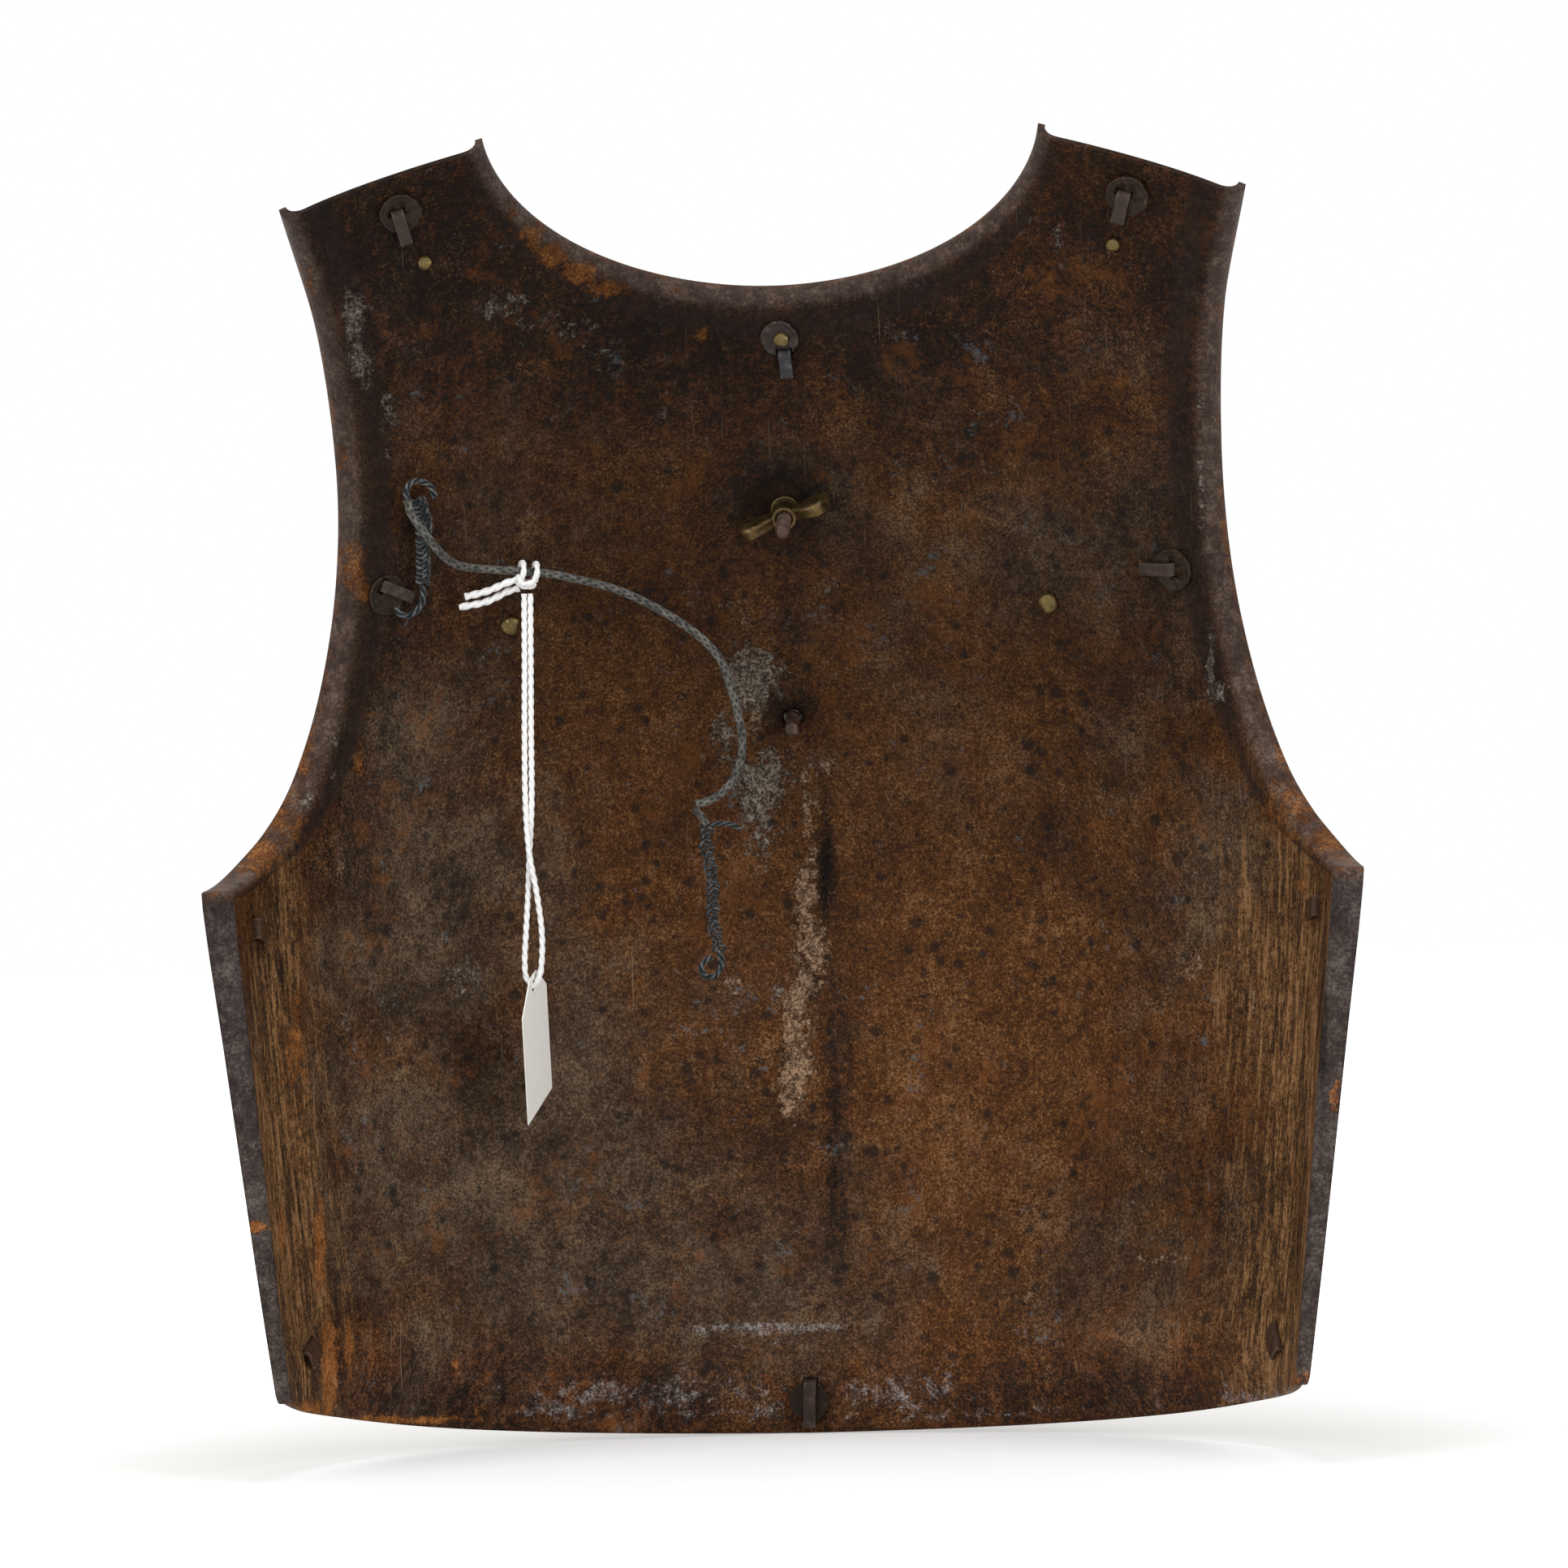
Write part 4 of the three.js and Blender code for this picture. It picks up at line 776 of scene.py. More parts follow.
def add_shoulder_tools(bm, back):
    """Boxes that end the two shoulders in straight cuts, lowered by back millimetres."""
    reach = shoulder_cut_reach
    for side in (-1, 1):
        inside = plate_point(side * neck_half_width, shoulder_inner_height)
        outer_x = plate_half_width * along(armhole_shares, shoulder_outer_height / plate_height)
        outside = plate_point(side * outer_x, shoulder_outer_height)
        middle = (inside + outside) / 2
        line = (outside - inside).normalized()
        over = line.cross(Vector(normal_at(turn_at(middle.x, middle.z), middle.z))).normalized()
        if over.z < 0:
            over.negate()
        turned = Matrix((line, over, line.cross(over))).transposed().to_4x4()
        place = moved(*(middle + plate_shift)) @ turned @ moved(0, reach / 2 - back, 0)
        add_block(bm, place, 2 * reach, reach, reach)


def apply_modifiers(piece):
    """Makes what a piece's modifiers give its mesh."""
    bpy.context.view_layer.update()
    evaluated = piece.evaluated_get(bpy.context.evaluated_depsgraph_get())
    mesh = bpy.data.meshes.new_from_object(evaluated)
    piece.modifiers.clear()
    old = piece.data
    piece.data = mesh
    bpy.data.meshes.remove(old)


def cut_with(piece, tools, solver):
    """Takes the shapes of a bmesh out of a piece."""
    cutters = mesh_object("cutters", tools, smooth=False)
    cut = piece.modifiers.new("cuts", "BOOLEAN")
    cut.operation = "DIFFERENCE"
    cut.solver = solver
    cut.object = cutters
    apply_modifiers(piece)
    bpy.data.objects.remove(cutters)


def sheet_piece(name, bm, thickness, tools):
    """A sheet of metal that grows outward from its inner face, with the tools cut out of it."""
    bm.normal_update()
    if sum(face.normal.y for face in bm.faces) > 0:
        bmesh.ops.reverse_faces(bm, faces=bm.faces)
    piece = mesh_object(name, bm)
    wall = piece.modifiers.new("wall", "SOLIDIFY")
    wall.thickness = thickness * millimetre
    wall.offset = -1
    cut_with(piece, tools, "MANIFOLD")
    return piece


tools = bmesh.new()
for name, x_share, z_share, angle, width in tangs:
    slot_middle = placed_frame(x_share, z_share, angle) @ moved(tang_thickness / 2, 0, 0)
    add_block(tools, slot_middle, tang_thickness + 2 * gap, width + 2 * gap, cutter_depth)
add_bore_tools(tools)
add_shoulder_tools(tools, 0)
front_foot, side_foot = Vector(surface_at(0.0, 0.0)), Vector(surface_at(1.0, float(bottom_rise)))
tilt = math.atan2(side_foot.z - front_foot.z, front_foot.y - side_foot.y)
add_block(tools, moved(*(front_foot + plate_shift)) @ Matrix.Rotation(-tilt, 4, "X")
          @ moved(0, 0, bottom_trim - bottom_rise / 2), 4 * plate_half_width, 4 * plate_depth, bottom_rise)
# planishing marks: shallow hammered dents all over the inner face
broad_dent_waves = 28
small_dent_waves = 95
bm = grid_piece(plate_grid)
for vertex in bm.verts:
    broad = noise.noise(vertex.co * broad_dent_waves)
    small = noise.noise(vertex.co * small_dent_waves)
    vertex.co.y += (broad * 0.35 + small * 0.09) * millimetre
shell = sheet_piece("forged_plate", bm, plate_thickness, tools)

# Iron surface
# The inside is covered by a hard brown patina, with rust, pale mineral crusts, soot-dark areas and
# grey worn iron. Masks at listed spots of the plate are broken up by fine noise.
warm_spots = [(1180, 980, 380, 420, 1.0), (800, 1000, 170, 280, 0.85), (1280, 1380, 300, 280, 0.9),
              (1080, 760, 240, 150, 0.6), (600, 880, 120, 160, 0.35), (860, 700, 140, 160, 0.55),
              (680, 600, 170, 120, 0.4), (1200, 600, 160, 110, 0.4), (760, 1250, 260, 180, 0.6),
              (900, 1100, 90, 200, 1.0), (1000, 1560, 400, 120, 0.3), (1480, 1300, 120, 350, 0.6)]
# dark patina, and painted shade in the dark halo round the plaque stud
dark_patina_and_shade_spots = [(520, 330, 170, 130, 0.9), (1380, 330, 150, 140, 0.7), (820, 440, 200, 80, 1.0),
              (1160, 420, 170, 90, 0.85), (966, 612, 62, 40, 1.8), (973, 770, 14, 130, 0.8),
              (975, 878, 36, 30, 1.3), (480, 740, 60, 70, 0.9), (430, 1000, 40, 130, 0.8),
              (1018, 1068, 9, 60, 1.7), (994, 1208, 8, 24, 1.6), (1032, 1440, 12, 220, 1.1),
              (1460, 650, 60, 190, 0.7), (640, 430, 160, 60, 0.7), (600, 1725, 300, 40, 1.0),
              (1330, 1715, 260, 34, 0.7), (1520, 1480, 40, 60, 0.9), (1560, 1120, 30, 60, 0.6),
              (430, 1560, 30, 120, 0.5), (560, 960, 60, 60, 0.3), (1330, 1000, 60, 50, 0.4),
              (1230, 730, 50, 40, 0.4), (760, 440, 50, 50, 0.6), (345, 1350, 8, 200, 0.7),
              (1630, 1280, 9, 130, 1.4), (1600, 1520, 9, 140, 1.2), (318, 1250, 8, 60, 1.0)]
tan_spots = [(931, 882, 10, 18, 1.2), (890, 747, 34, 12, 0.7), (918, 768, 12, 14, 0.8),
             (862, 930, 14, 18, 0.9), (925, 860, 12, 20, 0.8), (993, 980, 5, 60, 1.1),
             (1004, 992, 6, 50, 1.0), (992, 1106, 15, 40, 1.3), (998, 1172, 27, 50, 1.3),
             (984, 1245, 22, 66, 1.15), (980, 1330, 22, 60, 1.05), (1000, 1060, 10, 40, 0.9),
             (1022, 942, 20, 20, 0.9), (1030, 1120, 10, 50, 0.6), (895, 1204, 34, 22, 0.7),
             (850, 1010, 14, 40, 0.4), (1395, 1430, 30, 50, 0.5), (1280, 1600, 40, 16, 0.7),
             (1330, 1612, 24, 22, 0.6), (1290, 1240, 50, 40, 0.35), (700, 1400, 90, 40, 0.35),
             (560, 1540, 120, 30, 0.3), (415, 1068, 12, 34, 0.8), (1225, 590, 18, 30, 0.6),
             (1210, 790, 18, 18, 0.5), (905, 730, 26, 50, 0.45), (1500, 1120, 24, 90, 0.6),
             (1470, 1190, 14, 60, 0.6), (1540, 1180, 14, 90, 0.5), (1430, 1552, 60, 14, 0.8)]
chalk_spots = [(439, 385, 18, 42, 1.15), (446, 445, 20, 40, 1.1), (476, 510, 15, 30, 1.0),
               (622, 376, 42, 20, 0.95), (690, 403, 52, 17, 0.85), (756, 430, 36, 15, 0.6),
               (807, 514, 18, 8, 0.8), (500, 455, 14, 50, 0.45), (928, 836, 30, 44, 1.2),
               (889, 905, 18, 36, 1.0), (938, 958, 36, 40, 1.1), (932, 1015, 28, 50, 1.2),
               (952, 1074, 20, 12, 0.7), (957, 1225, 9, 18, 1.1), (1084, 1048, 8, 20, 0.8),
               (584, 1192, 26, 50, 0.75), (470, 1262, 46, 44, 0.65), (436, 1206, 18, 26, 0.6),
               (410, 914, 7, 10, 1.2), (411, 955, 6, 5, 1.5), (377, 988, 8, 8, 1.4),
               (360, 1010, 7, 7, 1.0), (1478, 500, 5, 30, 1.0), (1481, 600, 5, 56, 1.2),
               (1492, 815, 7, 40, 1.2), (1503, 852, 8, 14, 1.2), (1304, 297, 8, 18, 0.9),
               (1022, 722, 14, 12, 0.9), (1023, 580, 10, 8, 0.9), (592, 806, 24, 5, 0.7),
               (1395, 1500, 30, 20, 0.5), (610, 1715, 24, 12, 0.7), (412, 1702, 4, 6, 1.6)]
grey_spots = [(620, 1440, 230, 190, 0.9), (800, 1560, 260, 100, 0.8), (540, 1130, 120, 180, 0.9),
              (1380, 1560, 190, 90, 0.5), (500, 620, 110, 90, 0.3), (1160, 640, 220, 130, 0.45),
              (1400, 700, 100, 200, 0.5), (1000, 1560, 160, 90, 0.5), (1500, 1050, 70, 160, 0.55),
              (520, 930, 80, 120, 0.7)]
worn_spots = [(780, 1715, 170, 26, 0.75), (680, 1735, 60, 12, 0.8), (1110, 1715, 110, 24, 0.8),
              (1390, 1735, 120, 14, 0.6), (950, 1634, 96, 5, 1.5), (860, 1636, 40, 4, 1.1),
              (1560, 1720, 60, 16, 0.8), (1240, 1630, 30, 12, 0.5), (900, 1652, 120, 10, 0.6),
              (1180, 1742, 200, 8, 0.7), (900, 1742, 160, 8, 0.7)]
orange_spots = [(655, 290, 14, 16, 1.3), (682, 313, 18, 15, 1.4), (712, 336, 22, 13, 1.4),
                (748, 357, 26, 10, 1.3), (863, 411, 12, 15, 1.2), (630, 262, 8, 30, 1.0),
                (840, 358, 30, 8, 0.8), (382, 400, 8, 90, 0.8), (421, 566, 8, 30, 1.0),
                (436, 700, 16, 50, 1.0), (452, 735, 8, 14, 1.2), (372, 942, 14, 34, 1.1),
                (345, 1008, 30, 34, 1.15), (322, 1050, 24, 26, 1.2), (443, 940, 10, 24, 0.9),
                (366, 1290, 20, 130, 0.8), (394, 1535, 8, 60, 1.3), (406, 1690, 11, 66, 1.4),
                (347, 1520, 3, 40, 1.2), (430, 1655, 6, 34, 1.3), (560, 1680, 5, 26, 1.1),
                (588, 1737, 4, 18, 1.1), (385, 1735, 36, 11, 1.2), (315, 1512, 14, 7, 1.5),
                (480, 1750, 130, 6, 1.2), (1480, 1735, 60, 8, 0.7), (1590, 990, 50, 44, 0.95),
                (1640, 1036, 34, 22, 1.15), (1600, 1090, 14, 10, 1.0), (1600, 1480, 8, 160, 0.7),
                (1645, 1350, 8, 20, 1.2), (1530, 930, 20, 40, 0.7), (1210, 300, 12, 60, 0.4),
                (1600, 1700, 20, 20, 0.8), (620, 1735, 40, 10, 0.7)]
wall_spots = [(344, 1200, 22, 130, 1.2), (354, 1420, 34, 170, 1.0), (374, 1600, 38, 140, 1.0),
              (1596, 1280, 40, 240, 1.1), (1570, 1560, 42, 200, 1.0), (1530, 1200, 34, 180, 0.6)]
# broad patches of painted light on the plate
painted_light_spots = [(530, 1000, 110, 260, 0.5), (350, 1350, 60, 320, 0.25), (1600, 1300, 60, 320, 0.35),
                (1500, 1030, 60, 160, 0.4), (540, 1340, 160, 220, 0.30), (1220, 1700, 260, 40, 0.5),
                (1330, 430, 220, 260, 0.22), (600, 1700, 220, 40, 0.2)]

spot_sharpness = 0.6


def spot_mask(points, spots):
    """How much of a set of spots of the picture each point of the plate has, from 0 to 1."""
    offset = points - np.array(look_point)
    depth = camera_distance + offset @ np.array(forward)
    scale = px_per_metre * camera_distance / depth
    x = look_px[0] + scale * (offset @ np.array(right))
    y = look_px[1] - scale * (offset @ np.array(up))
    total = np.zeros(len(points))
    for centre_x, centre_y, half_width, half_height, amount in spots:
        reach = ((x - centre_x) / half_width) ** 2 + ((y - centre_y) / half_height) ** 2
        total = np.maximum(total, amount * np.exp(-spot_sharpness * reach))
    return total


def give_attribute(piece, name, values):
    layer = piece.data.attributes.new(name, "FLOAT", "POINT")
    layer.data.foreach_set("value", values)


places = np.empty(3 * len(shell.data.vertices))
shell.data.vertices.foreach_get("co", places)
places = places.reshape(-1, 3)
for mask_name, spots in (("warm", warm_spots), ("dark", dark_patina_and_shade_spots), ("tan", tan_spots),
                         ("chalk", chalk_spots), ("grey", grey_spots), ("worn", worn_spots),
                         ("orange", orange_spots), ("wall", wall_spots)):
    give_attribute(shell, mask_name, spot_mask(places, spots))
# painted light and shade: the colour is darker at the top and is painted lighter towards the waist, again at
# its flange and in broad patches, and painted shade darkens the deepest dark spots further
painted_light_level_at_top = 0.67
painted_light_to_waist = 0.64
painted_light_on_flange = 0.36
painted_shade_share = 0.6
depth_share = 1 - places[:, 2] / places[:, 2].max()
painted_light_and_shade = painted_light_level_at_top + painted_light_to_waist * smooth_step((depth_share - 0.36) / 0.36)
painted_light_and_shade += painted_light_on_flange * smooth_step((depth_share - 0.88) / 0.06)
painted_light_and_shade += spot_mask(places, painted_light_spots)
painted_light_and_shade *= 1 - painted_shade_share * smooth_step((spot_mask(places, dark_patina_and_shade_spots) - 0.7) / 0.8)
give_attribute(shell, "painted_light_and_shade", painted_light_and_shade)
grid_places = ((plate_grid + np.array(plate_shift)) * millimetre).reshape(-1, 3)
near = kdtree.KDTree(len(grid_places))
for k, place in enumerate(grid_places):
    near.insert(place, k)
near.balance()
nearest = np.array([near.find(place)[1] for place in places])
past = past_edge.flat[nearest]
below_corner = nearest < (flange_rows + rows_to_corner) * plate_grid.shape[1]
# the edge mask later gives the rolled edges their plum colour and a painted sheen
for mask_name, values in (("edge", smooth_step((past - 0.5) / 4) * ~below_corner),
                          ("band", np.exp(-((past + 4) / 7) ** 2) * ~below_corner),
                          ("rim", smooth_step((past - 6) / 4) * ~below_corner),
                          ("flange", smooth_step(past / 1.5) * below_corner)):
    give_attribute(shell, mask_name, values)
scratch_turns = (0.45, -0.7, 1.25, -1.9, 2.7)


def browned_iron():
    """The layers of the inside, each over the one before it, from the patina to the scratches, and then the
    painted light and shade that scales them all.
    """
    f = Finish("browned_iron", roughness=0.5, specular=0.07)

    def layer(amount, below, value, *stops):
        return f.blend(amount, below, f.ramp(value, *stops))

    def patches(mask_name, share, broken, low, high, most=1.0):
        """Patches round the spots of a mask, with a broken outline."""
        return f.spread(f.sum((f.mask(mask_name), share), (broken, 1)), low, high, 0, most)

    broad = f.noise(13, 6, 0.62, distortion=0.6)
    patchy = f.noise(44, 8, 0.70, distortion=0.4)
    mottle = f.noise(130, 8, 0.75)
    speck = f.noise(420, 5, 0.75)
    grain = f.noise(1150, 3, 0.8)
    drift = f.noise(29, 8, 0.72, distortion=0.3)
    streaks = f.noise(1.0, 7, 0.75, f.stretched((150, 150, 24)))
    # patina from soot brown to warm rust brown; the dark mask also holds painted shade in the halo round the
    # plaque stud
    tone = f.varied(f.sum((f.mask("warm"), 0.34), (f.mask("dark"), -0.44)), (broad, 0.7), (patchy, 1.1),
                    (streaks, 0.7), (mottle, 0.8), (speck, 1.6), (grain, 2.9))
    colour = f.ramp(f.spread(tone, -0.62, 0.86),
                    (0.06, (0.008, 0.0046, 0.0036)), (0.26, (0.020, 0.0088, 0.0043)),
                    (0.44, (0.042, 0.0162, 0.0055)), (0.60, (0.069, 0.0258, 0.0068)),
                    (0.78, (0.112, 0.0450, 0.0128)), (0.97, (0.21, 0.108, 0.045)))
    # wine-red tints in soft patches
    wine = f.varied(f.noise(19, 8, 0.74, distortion=0.8), (streaks, 0.7), (speck, 1.0))
    colour = layer(f.spread(wine, 0.50, 0.70, 0, 0.6), colour, f.varied(mottle, (grain, 1.6)),
                   (0.30, (0.026, 0.0098, 0.0060)), (0.50, (0.066, 0.0240, 0.0120)),
                   (0.72, (0.125, 0.056, 0.030)))
    # dull olive-grey dirt
    dirt = f.varied(f.mask("grey"), (drift, 2.2), (streaks, 0.8))
    colour = layer(f.spread(dirt, 0.10, 0.75, 0, 0.85), colour,
                   f.varied(patchy, (mottle, 0.7), (speck, 0.8), (grain, 1.6)),
                   (0.28, (0.018, 0.0115, 0.0078)), (0.5, (0.044, 0.0285, 0.0172)),
                   (0.72, (0.092, 0.066, 0.044)))
    # soot-dark pits and round stains
    pits = f.spread(f.sum((f.cells(130), 1), (f.noise(60, 6, 0.7), 1.1)), 0.80, 0.64, 0, 0.75)
    colour = f.blend(pits, colour, (0.010, 0.007, 0.006))
    # bare iron and dust in fine specks, some of them blue grey, and specks of rust
    dust = f.varied(grain, (patchy, 0.8))
    colour = f.blend(f.spread(dust, 0.62, 0.76, 0, 0.7), colour, (0.20, 0.115, 0.054))
    blued = f.varied(f.noise(520, 5, 0.8), (f.noise(70, 8, 0.8), 1.9))
    colour = f.blend(f.spread(blued, 0.74, 0.84, 0, 0.75), colour, (0.085, 0.095, 0.105))
    rust = f.varied(f.noise(200, 9, 0.8), (f.noise(36, 6, 0.7), 1.1))
    colour = f.blend(f.spread(rust, 0.58, 0.78, 0, 0.6), colour, (0.135, 0.046, 0.011))
    # side walls with soft upright patches of rust and dust
    runs = f.noise(1.0, 8, 0.75, f.stretched((95, 95, 13)))
    fibres = f.noise(1.0, 5, 0.75, f.stretched((480, 480, 50)))
    wall_patches = f.varied(f.mask("wall"), (runs, 1.4), (fibres, 1.0))
    colour = layer(f.spread(wall_patches, 0.25, 0.70, 0, 0.95), colour,
                   f.varied(runs, (fibres, 1.3), (speck, 0.8), (grain, 0.9)),
                   (0.30, (0.014, 0.009, 0.006)), (0.44, (0.046, 0.024, 0.011)),
                   (0.55, (0.100, 0.047, 0.017)), (0.70, (0.20, 0.108, 0.048)))
    # plum-dark rolled edges lightened by a painted sheen, with a dark band just inside them and rust on their
    # rims, and grey side flanges
    band = f.varied(f.mask("band"), (patchy, 1.4), (speck, 0.6))
    colour = layer(f.spread(band, 0.35, 0.9, 0, 0.75), colour, speck,
                   (0.35, (0.008, 0.0055, 0.005)), (0.65, (0.028, 0.0165, 0.0135)))
    colour = layer(f.times(f.mask("edge"), 0.9), colour, f.varied(mottle, (speck, 0.7), (grain, 0.7)),
                   (0.28, (0.034, 0.0205, 0.0165)), (0.50, (0.072, 0.0445, 0.0350)),
                   (0.74, (0.175, 0.130, 0.105)))
    colour = layer(f.times(f.mask("flange"), 0.95), colour, f.varied(mottle, (speck, 0.6), (grain, 0.8)),
                   (0.28, (0.014, 0.0105, 0.0100)), (0.50, (0.034, 0.0260, 0.0240)),
                   (0.74, (0.092, 0.077, 0.070)))
    # pale mineral crusts in broken patches, tan ones and chalky grey ones
    broken = f.varied(0.5, (f.noise(48, 10, 0.84, distortion=0.8), 2.6), (f.noise(300, 8, 0.84), 2.2))
    tan = patches("tan", 0.70, broken, 1.01, 1.18, 0.88)
    colour = layer(tan, colour, f.varied(speck, (grain, 1.5)),
                   (0.30, (0.045, 0.026, 0.016)), (0.47, (0.130, 0.078, 0.046)), (0.66, (0.34, 0.22, 0.14)))
    chalk = patches("chalk", 0.66, broken, 0.99, 1.17, 0.85)
    colour = layer(chalk, colour, f.varied(speck, (grain, 1.7)),
                   (0.30, (0.040, 0.029, 0.022)), (0.50, (0.112, 0.090, 0.070)), (0.70, (0.30, 0.26, 0.22)))
    # lilac-grey bare iron where the flange and the crease are rubbed
    colour = layer(patches("worn", 0.70, broken, 0.98, 1.22, 0.8), colour, f.varied(speck, (grain, 1.4)),
                   (0.34, (0.036, 0.027, 0.025)), (0.50, (0.090, 0.072, 0.066)), (0.68, (0.26, 0.235, 0.22)))
    # fresh orange rust, also along the rims
    powder = f.varied(0.5, (f.noise(50, 9, 0.8, distortion=0.4), 1.6), (f.noise(300, 8, 0.82), 1.7))
    fresh = patches("orange", 0.66, powder, 0.93, 1.18)
    rust_colour = f.ramp(f.varied(grain, (mottle, 0.8)), (0.30, (0.060, 0.021, 0.008)),
                         (0.5, (0.150, 0.052, 0.013)), (0.70, (0.34, 0.145, 0.045)))
    colour = f.blend(f.times(fresh, 0.85), colour, rust_colour)
    colour = f.blend(patches("rim", 0.46, powder, 0.90, 1.14, 0.8), colour, rust_colour)
    # straight fine scratches
    scratch = 0
    for k, turn in enumerate(scratch_turns):
        lines = f.noise(1.0, 1, 0.3, f.stretched((1500, 0, 17 + 2 * k), (0, turn, 0)))
        where = f.noise(30 + 4 * k, 4, 0.65)
        scratch = f.larger(scratch, f.times(f.spread(lines, 0.70, 0.78), f.spread(where, 0.56, 0.66)))
    colour = f.blend(f.times(scratch, 0.5), colour, (0.24, 0.17, 0.11))
    # painted light and shade: the whole colour is darkened at the top and at the deepest dark spots, and
    # lightened lower down, on the flange and in broad patches
    colour = f.scaled(colour, f.mask("painted_light_and_shade"))
    crust = f.larger(tan, chalk)
    rough = f.spread(f.sum((crust, 1), (fresh, 1), (mottle, 1), (speck, 1)), 0.7, 2.2, 0.50, 0.88)
    rough = f.sum((rough, 1), (f.mask("edge"), -0.20))
    height = f.sum((speck, 0.6), (grain, 0.6), (crust, 0.5), (fresh, 0.5), (pits, -0.5), (scratch, -0.5))
    normal = f.bumped(height, 0.25, 1.0, f.bumped(f.sum((patchy, 1), (mottle, 1)), 0.8, 0.6))
    return f.done(colour, Roughness=rough, Normal=normal)


dressed(shell, browned_iron(), "armour", "forged_iron", "breastplate_shell")

# Tangs of the facing
# Thick iron tabs on the back of the facing come through slots in the plate and are folded over. They are
# forged, dark, and worn bright along their edges.


def extent_in(place, node):
    """Lowest and highest corner of a node's solid in a fastener's own frame."""
    back = place.inverted()
    corners = np.array([back @ vertex.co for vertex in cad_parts[node].data.vertices]) / millimetre
    return corners.min(axis=0), corners.max(axis=0)


hammer_seed = 7
bar_grain = 900
bar_roughness = 0.07
noise.seed_set(hammer_seed)


def swept_bar(name, place, line, widths, depths, square=6, ring=32, across=(0, 1, 0)):
    """A bar along a line in a fastener's frame: widths along local y, depths across, square corners."""
    line = np.array([place @ (Vector(point) * millimetre) for point in line])
    wide = np.array(place.to_3x3() @ Vector(across))
    deep = unit(np.cross(unit(np.gradient(line, axis=0)), wide))
    angles = ring_angles(ring)

    def place_of(i, k):
        side, depth = math.cos(angles[k]), math.sin(angles[k])
        reach = (abs(side) ** square + abs(depth) ** square) ** (-1 / square) * millimetre
        return line[i] + (wide * side * widths[i] + deep[i] * depth * depths[i]) * reach

    bm = closed_tube(len(line), ring, place_of)
    for vertex in bm.verts:
        vertex.co += Vector(noise.noise_vector(vertex.co * bar_grain)) * bar_roughness * millimetre
    return mesh_object(name, bm)


def forged(name, base, worn, rust, worn_at=0.62, specular=0.25):
    """Dark forged iron with lighter worn edges, dark hollows and flecks of rust."""
    f = Finish(name, roughness=0.5, specular=specular)
    mottle = f.noise(300, 7, 0.7)
    speck = f.noise(1800, 4, 0.7)
    colour = f.blend(f.spread(mottle, 0.35, 0.65), tuple(0.55 * part for part in base), base)
    wear = f.sum((mottle, 1), (speck, 0.35))
    colour = f.blend(f.spread(wear, worn_at + 0.1, worn_at + 0.3), colour, worn)
    colour = f.blend(f.spread(f.noise(420, 8, 0.75), 0.58, 0.68, 0, 0.8), colour, rust)
    edge = f.sharpness()
    colour = f.blend(f.spread(edge, 0.53, 0.60, 0, 0.7), colour, tuple(1.5 * part for part in worn))
    colour = f.blend(f.spread(edge, 0.47, 0.40, 0, 0.8), colour, (0.01, 0.007, 0.006))
    return f.done(colour, Roughness=f.spread(mottle, 0.3, 0.7, 0.38, 0.62),
                  Normal=f.bumped(f.sum((speck, 1), (mottle, 1)), 0.12, 0.7))


tang_iron = forged("tang_iron", (0.040, 0.024, 0.018), (0.12, 0.085, 0.07), (0.12, 0.045, 0.014))
blue_iron = forged("blued_tang_iron", (0.024, 0.022, 0.025), (0.11, 0.11, 0.12), (0.18, 0.07, 0.018),
                   specular=0.3)
rusty_iron = forged("rusty_tang_iron", (0.060, 0.028, 0.013), (0.14, 0.085, 0.05), (0.17, 0.06, 0.015),
                    specular=0.2)
tang_irons = {"neck": blue_iron, "side_upper_left": rusty_iron, "side_upper_right": rusty_iron,
              "side_lower_left": rusty_iron, "side_lower_right": rusty_iron}
tang_bend = 1.1
tang_half = tang_thickness / 2
tang_places = {}
for name, x_share, z_share, angle, width in tangs:
    node = f"tang_{name}"
    place = placed_frame(x_share, z_share, angle)
    tang_places[name] = place
    low, high = extent_in(place, node)
    top = high[2] - tang_half
    reach = high[0]
    line = [(tang_half, 0, z) for z in np.linspace(-plate_thickness, top - tang_bend, 5)]
    line += [(tang_half + tang_bend * (1 - math.cos(t)), 0, top - tang_bend * (1 - math.sin(t)))
             for t in np.linspace(0.2, math.pi / 2, 7)]
    line += [(x, 0, top) for x in np.linspace(tang_half + tang_bend + 0.5, reach - 0.5, 12)]
    line += [(reach - 0.15, 0, top), (reach, 0, top)]
    taper = np.ones(len(line))
    taper[-2:] = 0.94, 0.78
    piece = swept_bar(f"folded_{node}", place, line, taper * width / 2, taper * tang_half)
    dressed(piece, tang_irons.get(name, tang_iron), "armour", "dark_iron", node)

# Round keepers
# A dark iron washer lies under each of six tangs, beaten flat against the plate, with a raised rim.


def turned_piece(name, place, profile, rough=0.0, grain=600, segments=48):
    """A round body about the frame's z axis from (radius, height) points."""
    bm = bmesh.new()
    points = [bm.verts.new((radius * millimetre, 0, height * millimetre)) for radius, height in profile]
    edges = [bm.edges.new(pair) for pair in zip(points, points[1:])]
    bmesh.ops.spin(bm, geom=points + edges, cent=(0, 0, 0), axis=(0, 0, 1), angle=2 * math.pi,
                   steps=segments, use_merge=True)
    bmesh.ops.remove_doubles(bm, verts=bm.verts, dist=merge_distance)
    bmesh.ops.recalc_face_normals(bm, faces=bm.faces)
    for vertex in bm.verts:
        vertex.co += Vector(noise.noise_vector(vertex.co * grain)) * rough * millimetre
    bmesh.ops.transform(bm, matrix=place, verts=bm.verts)
    return mesh_object(name, bm)


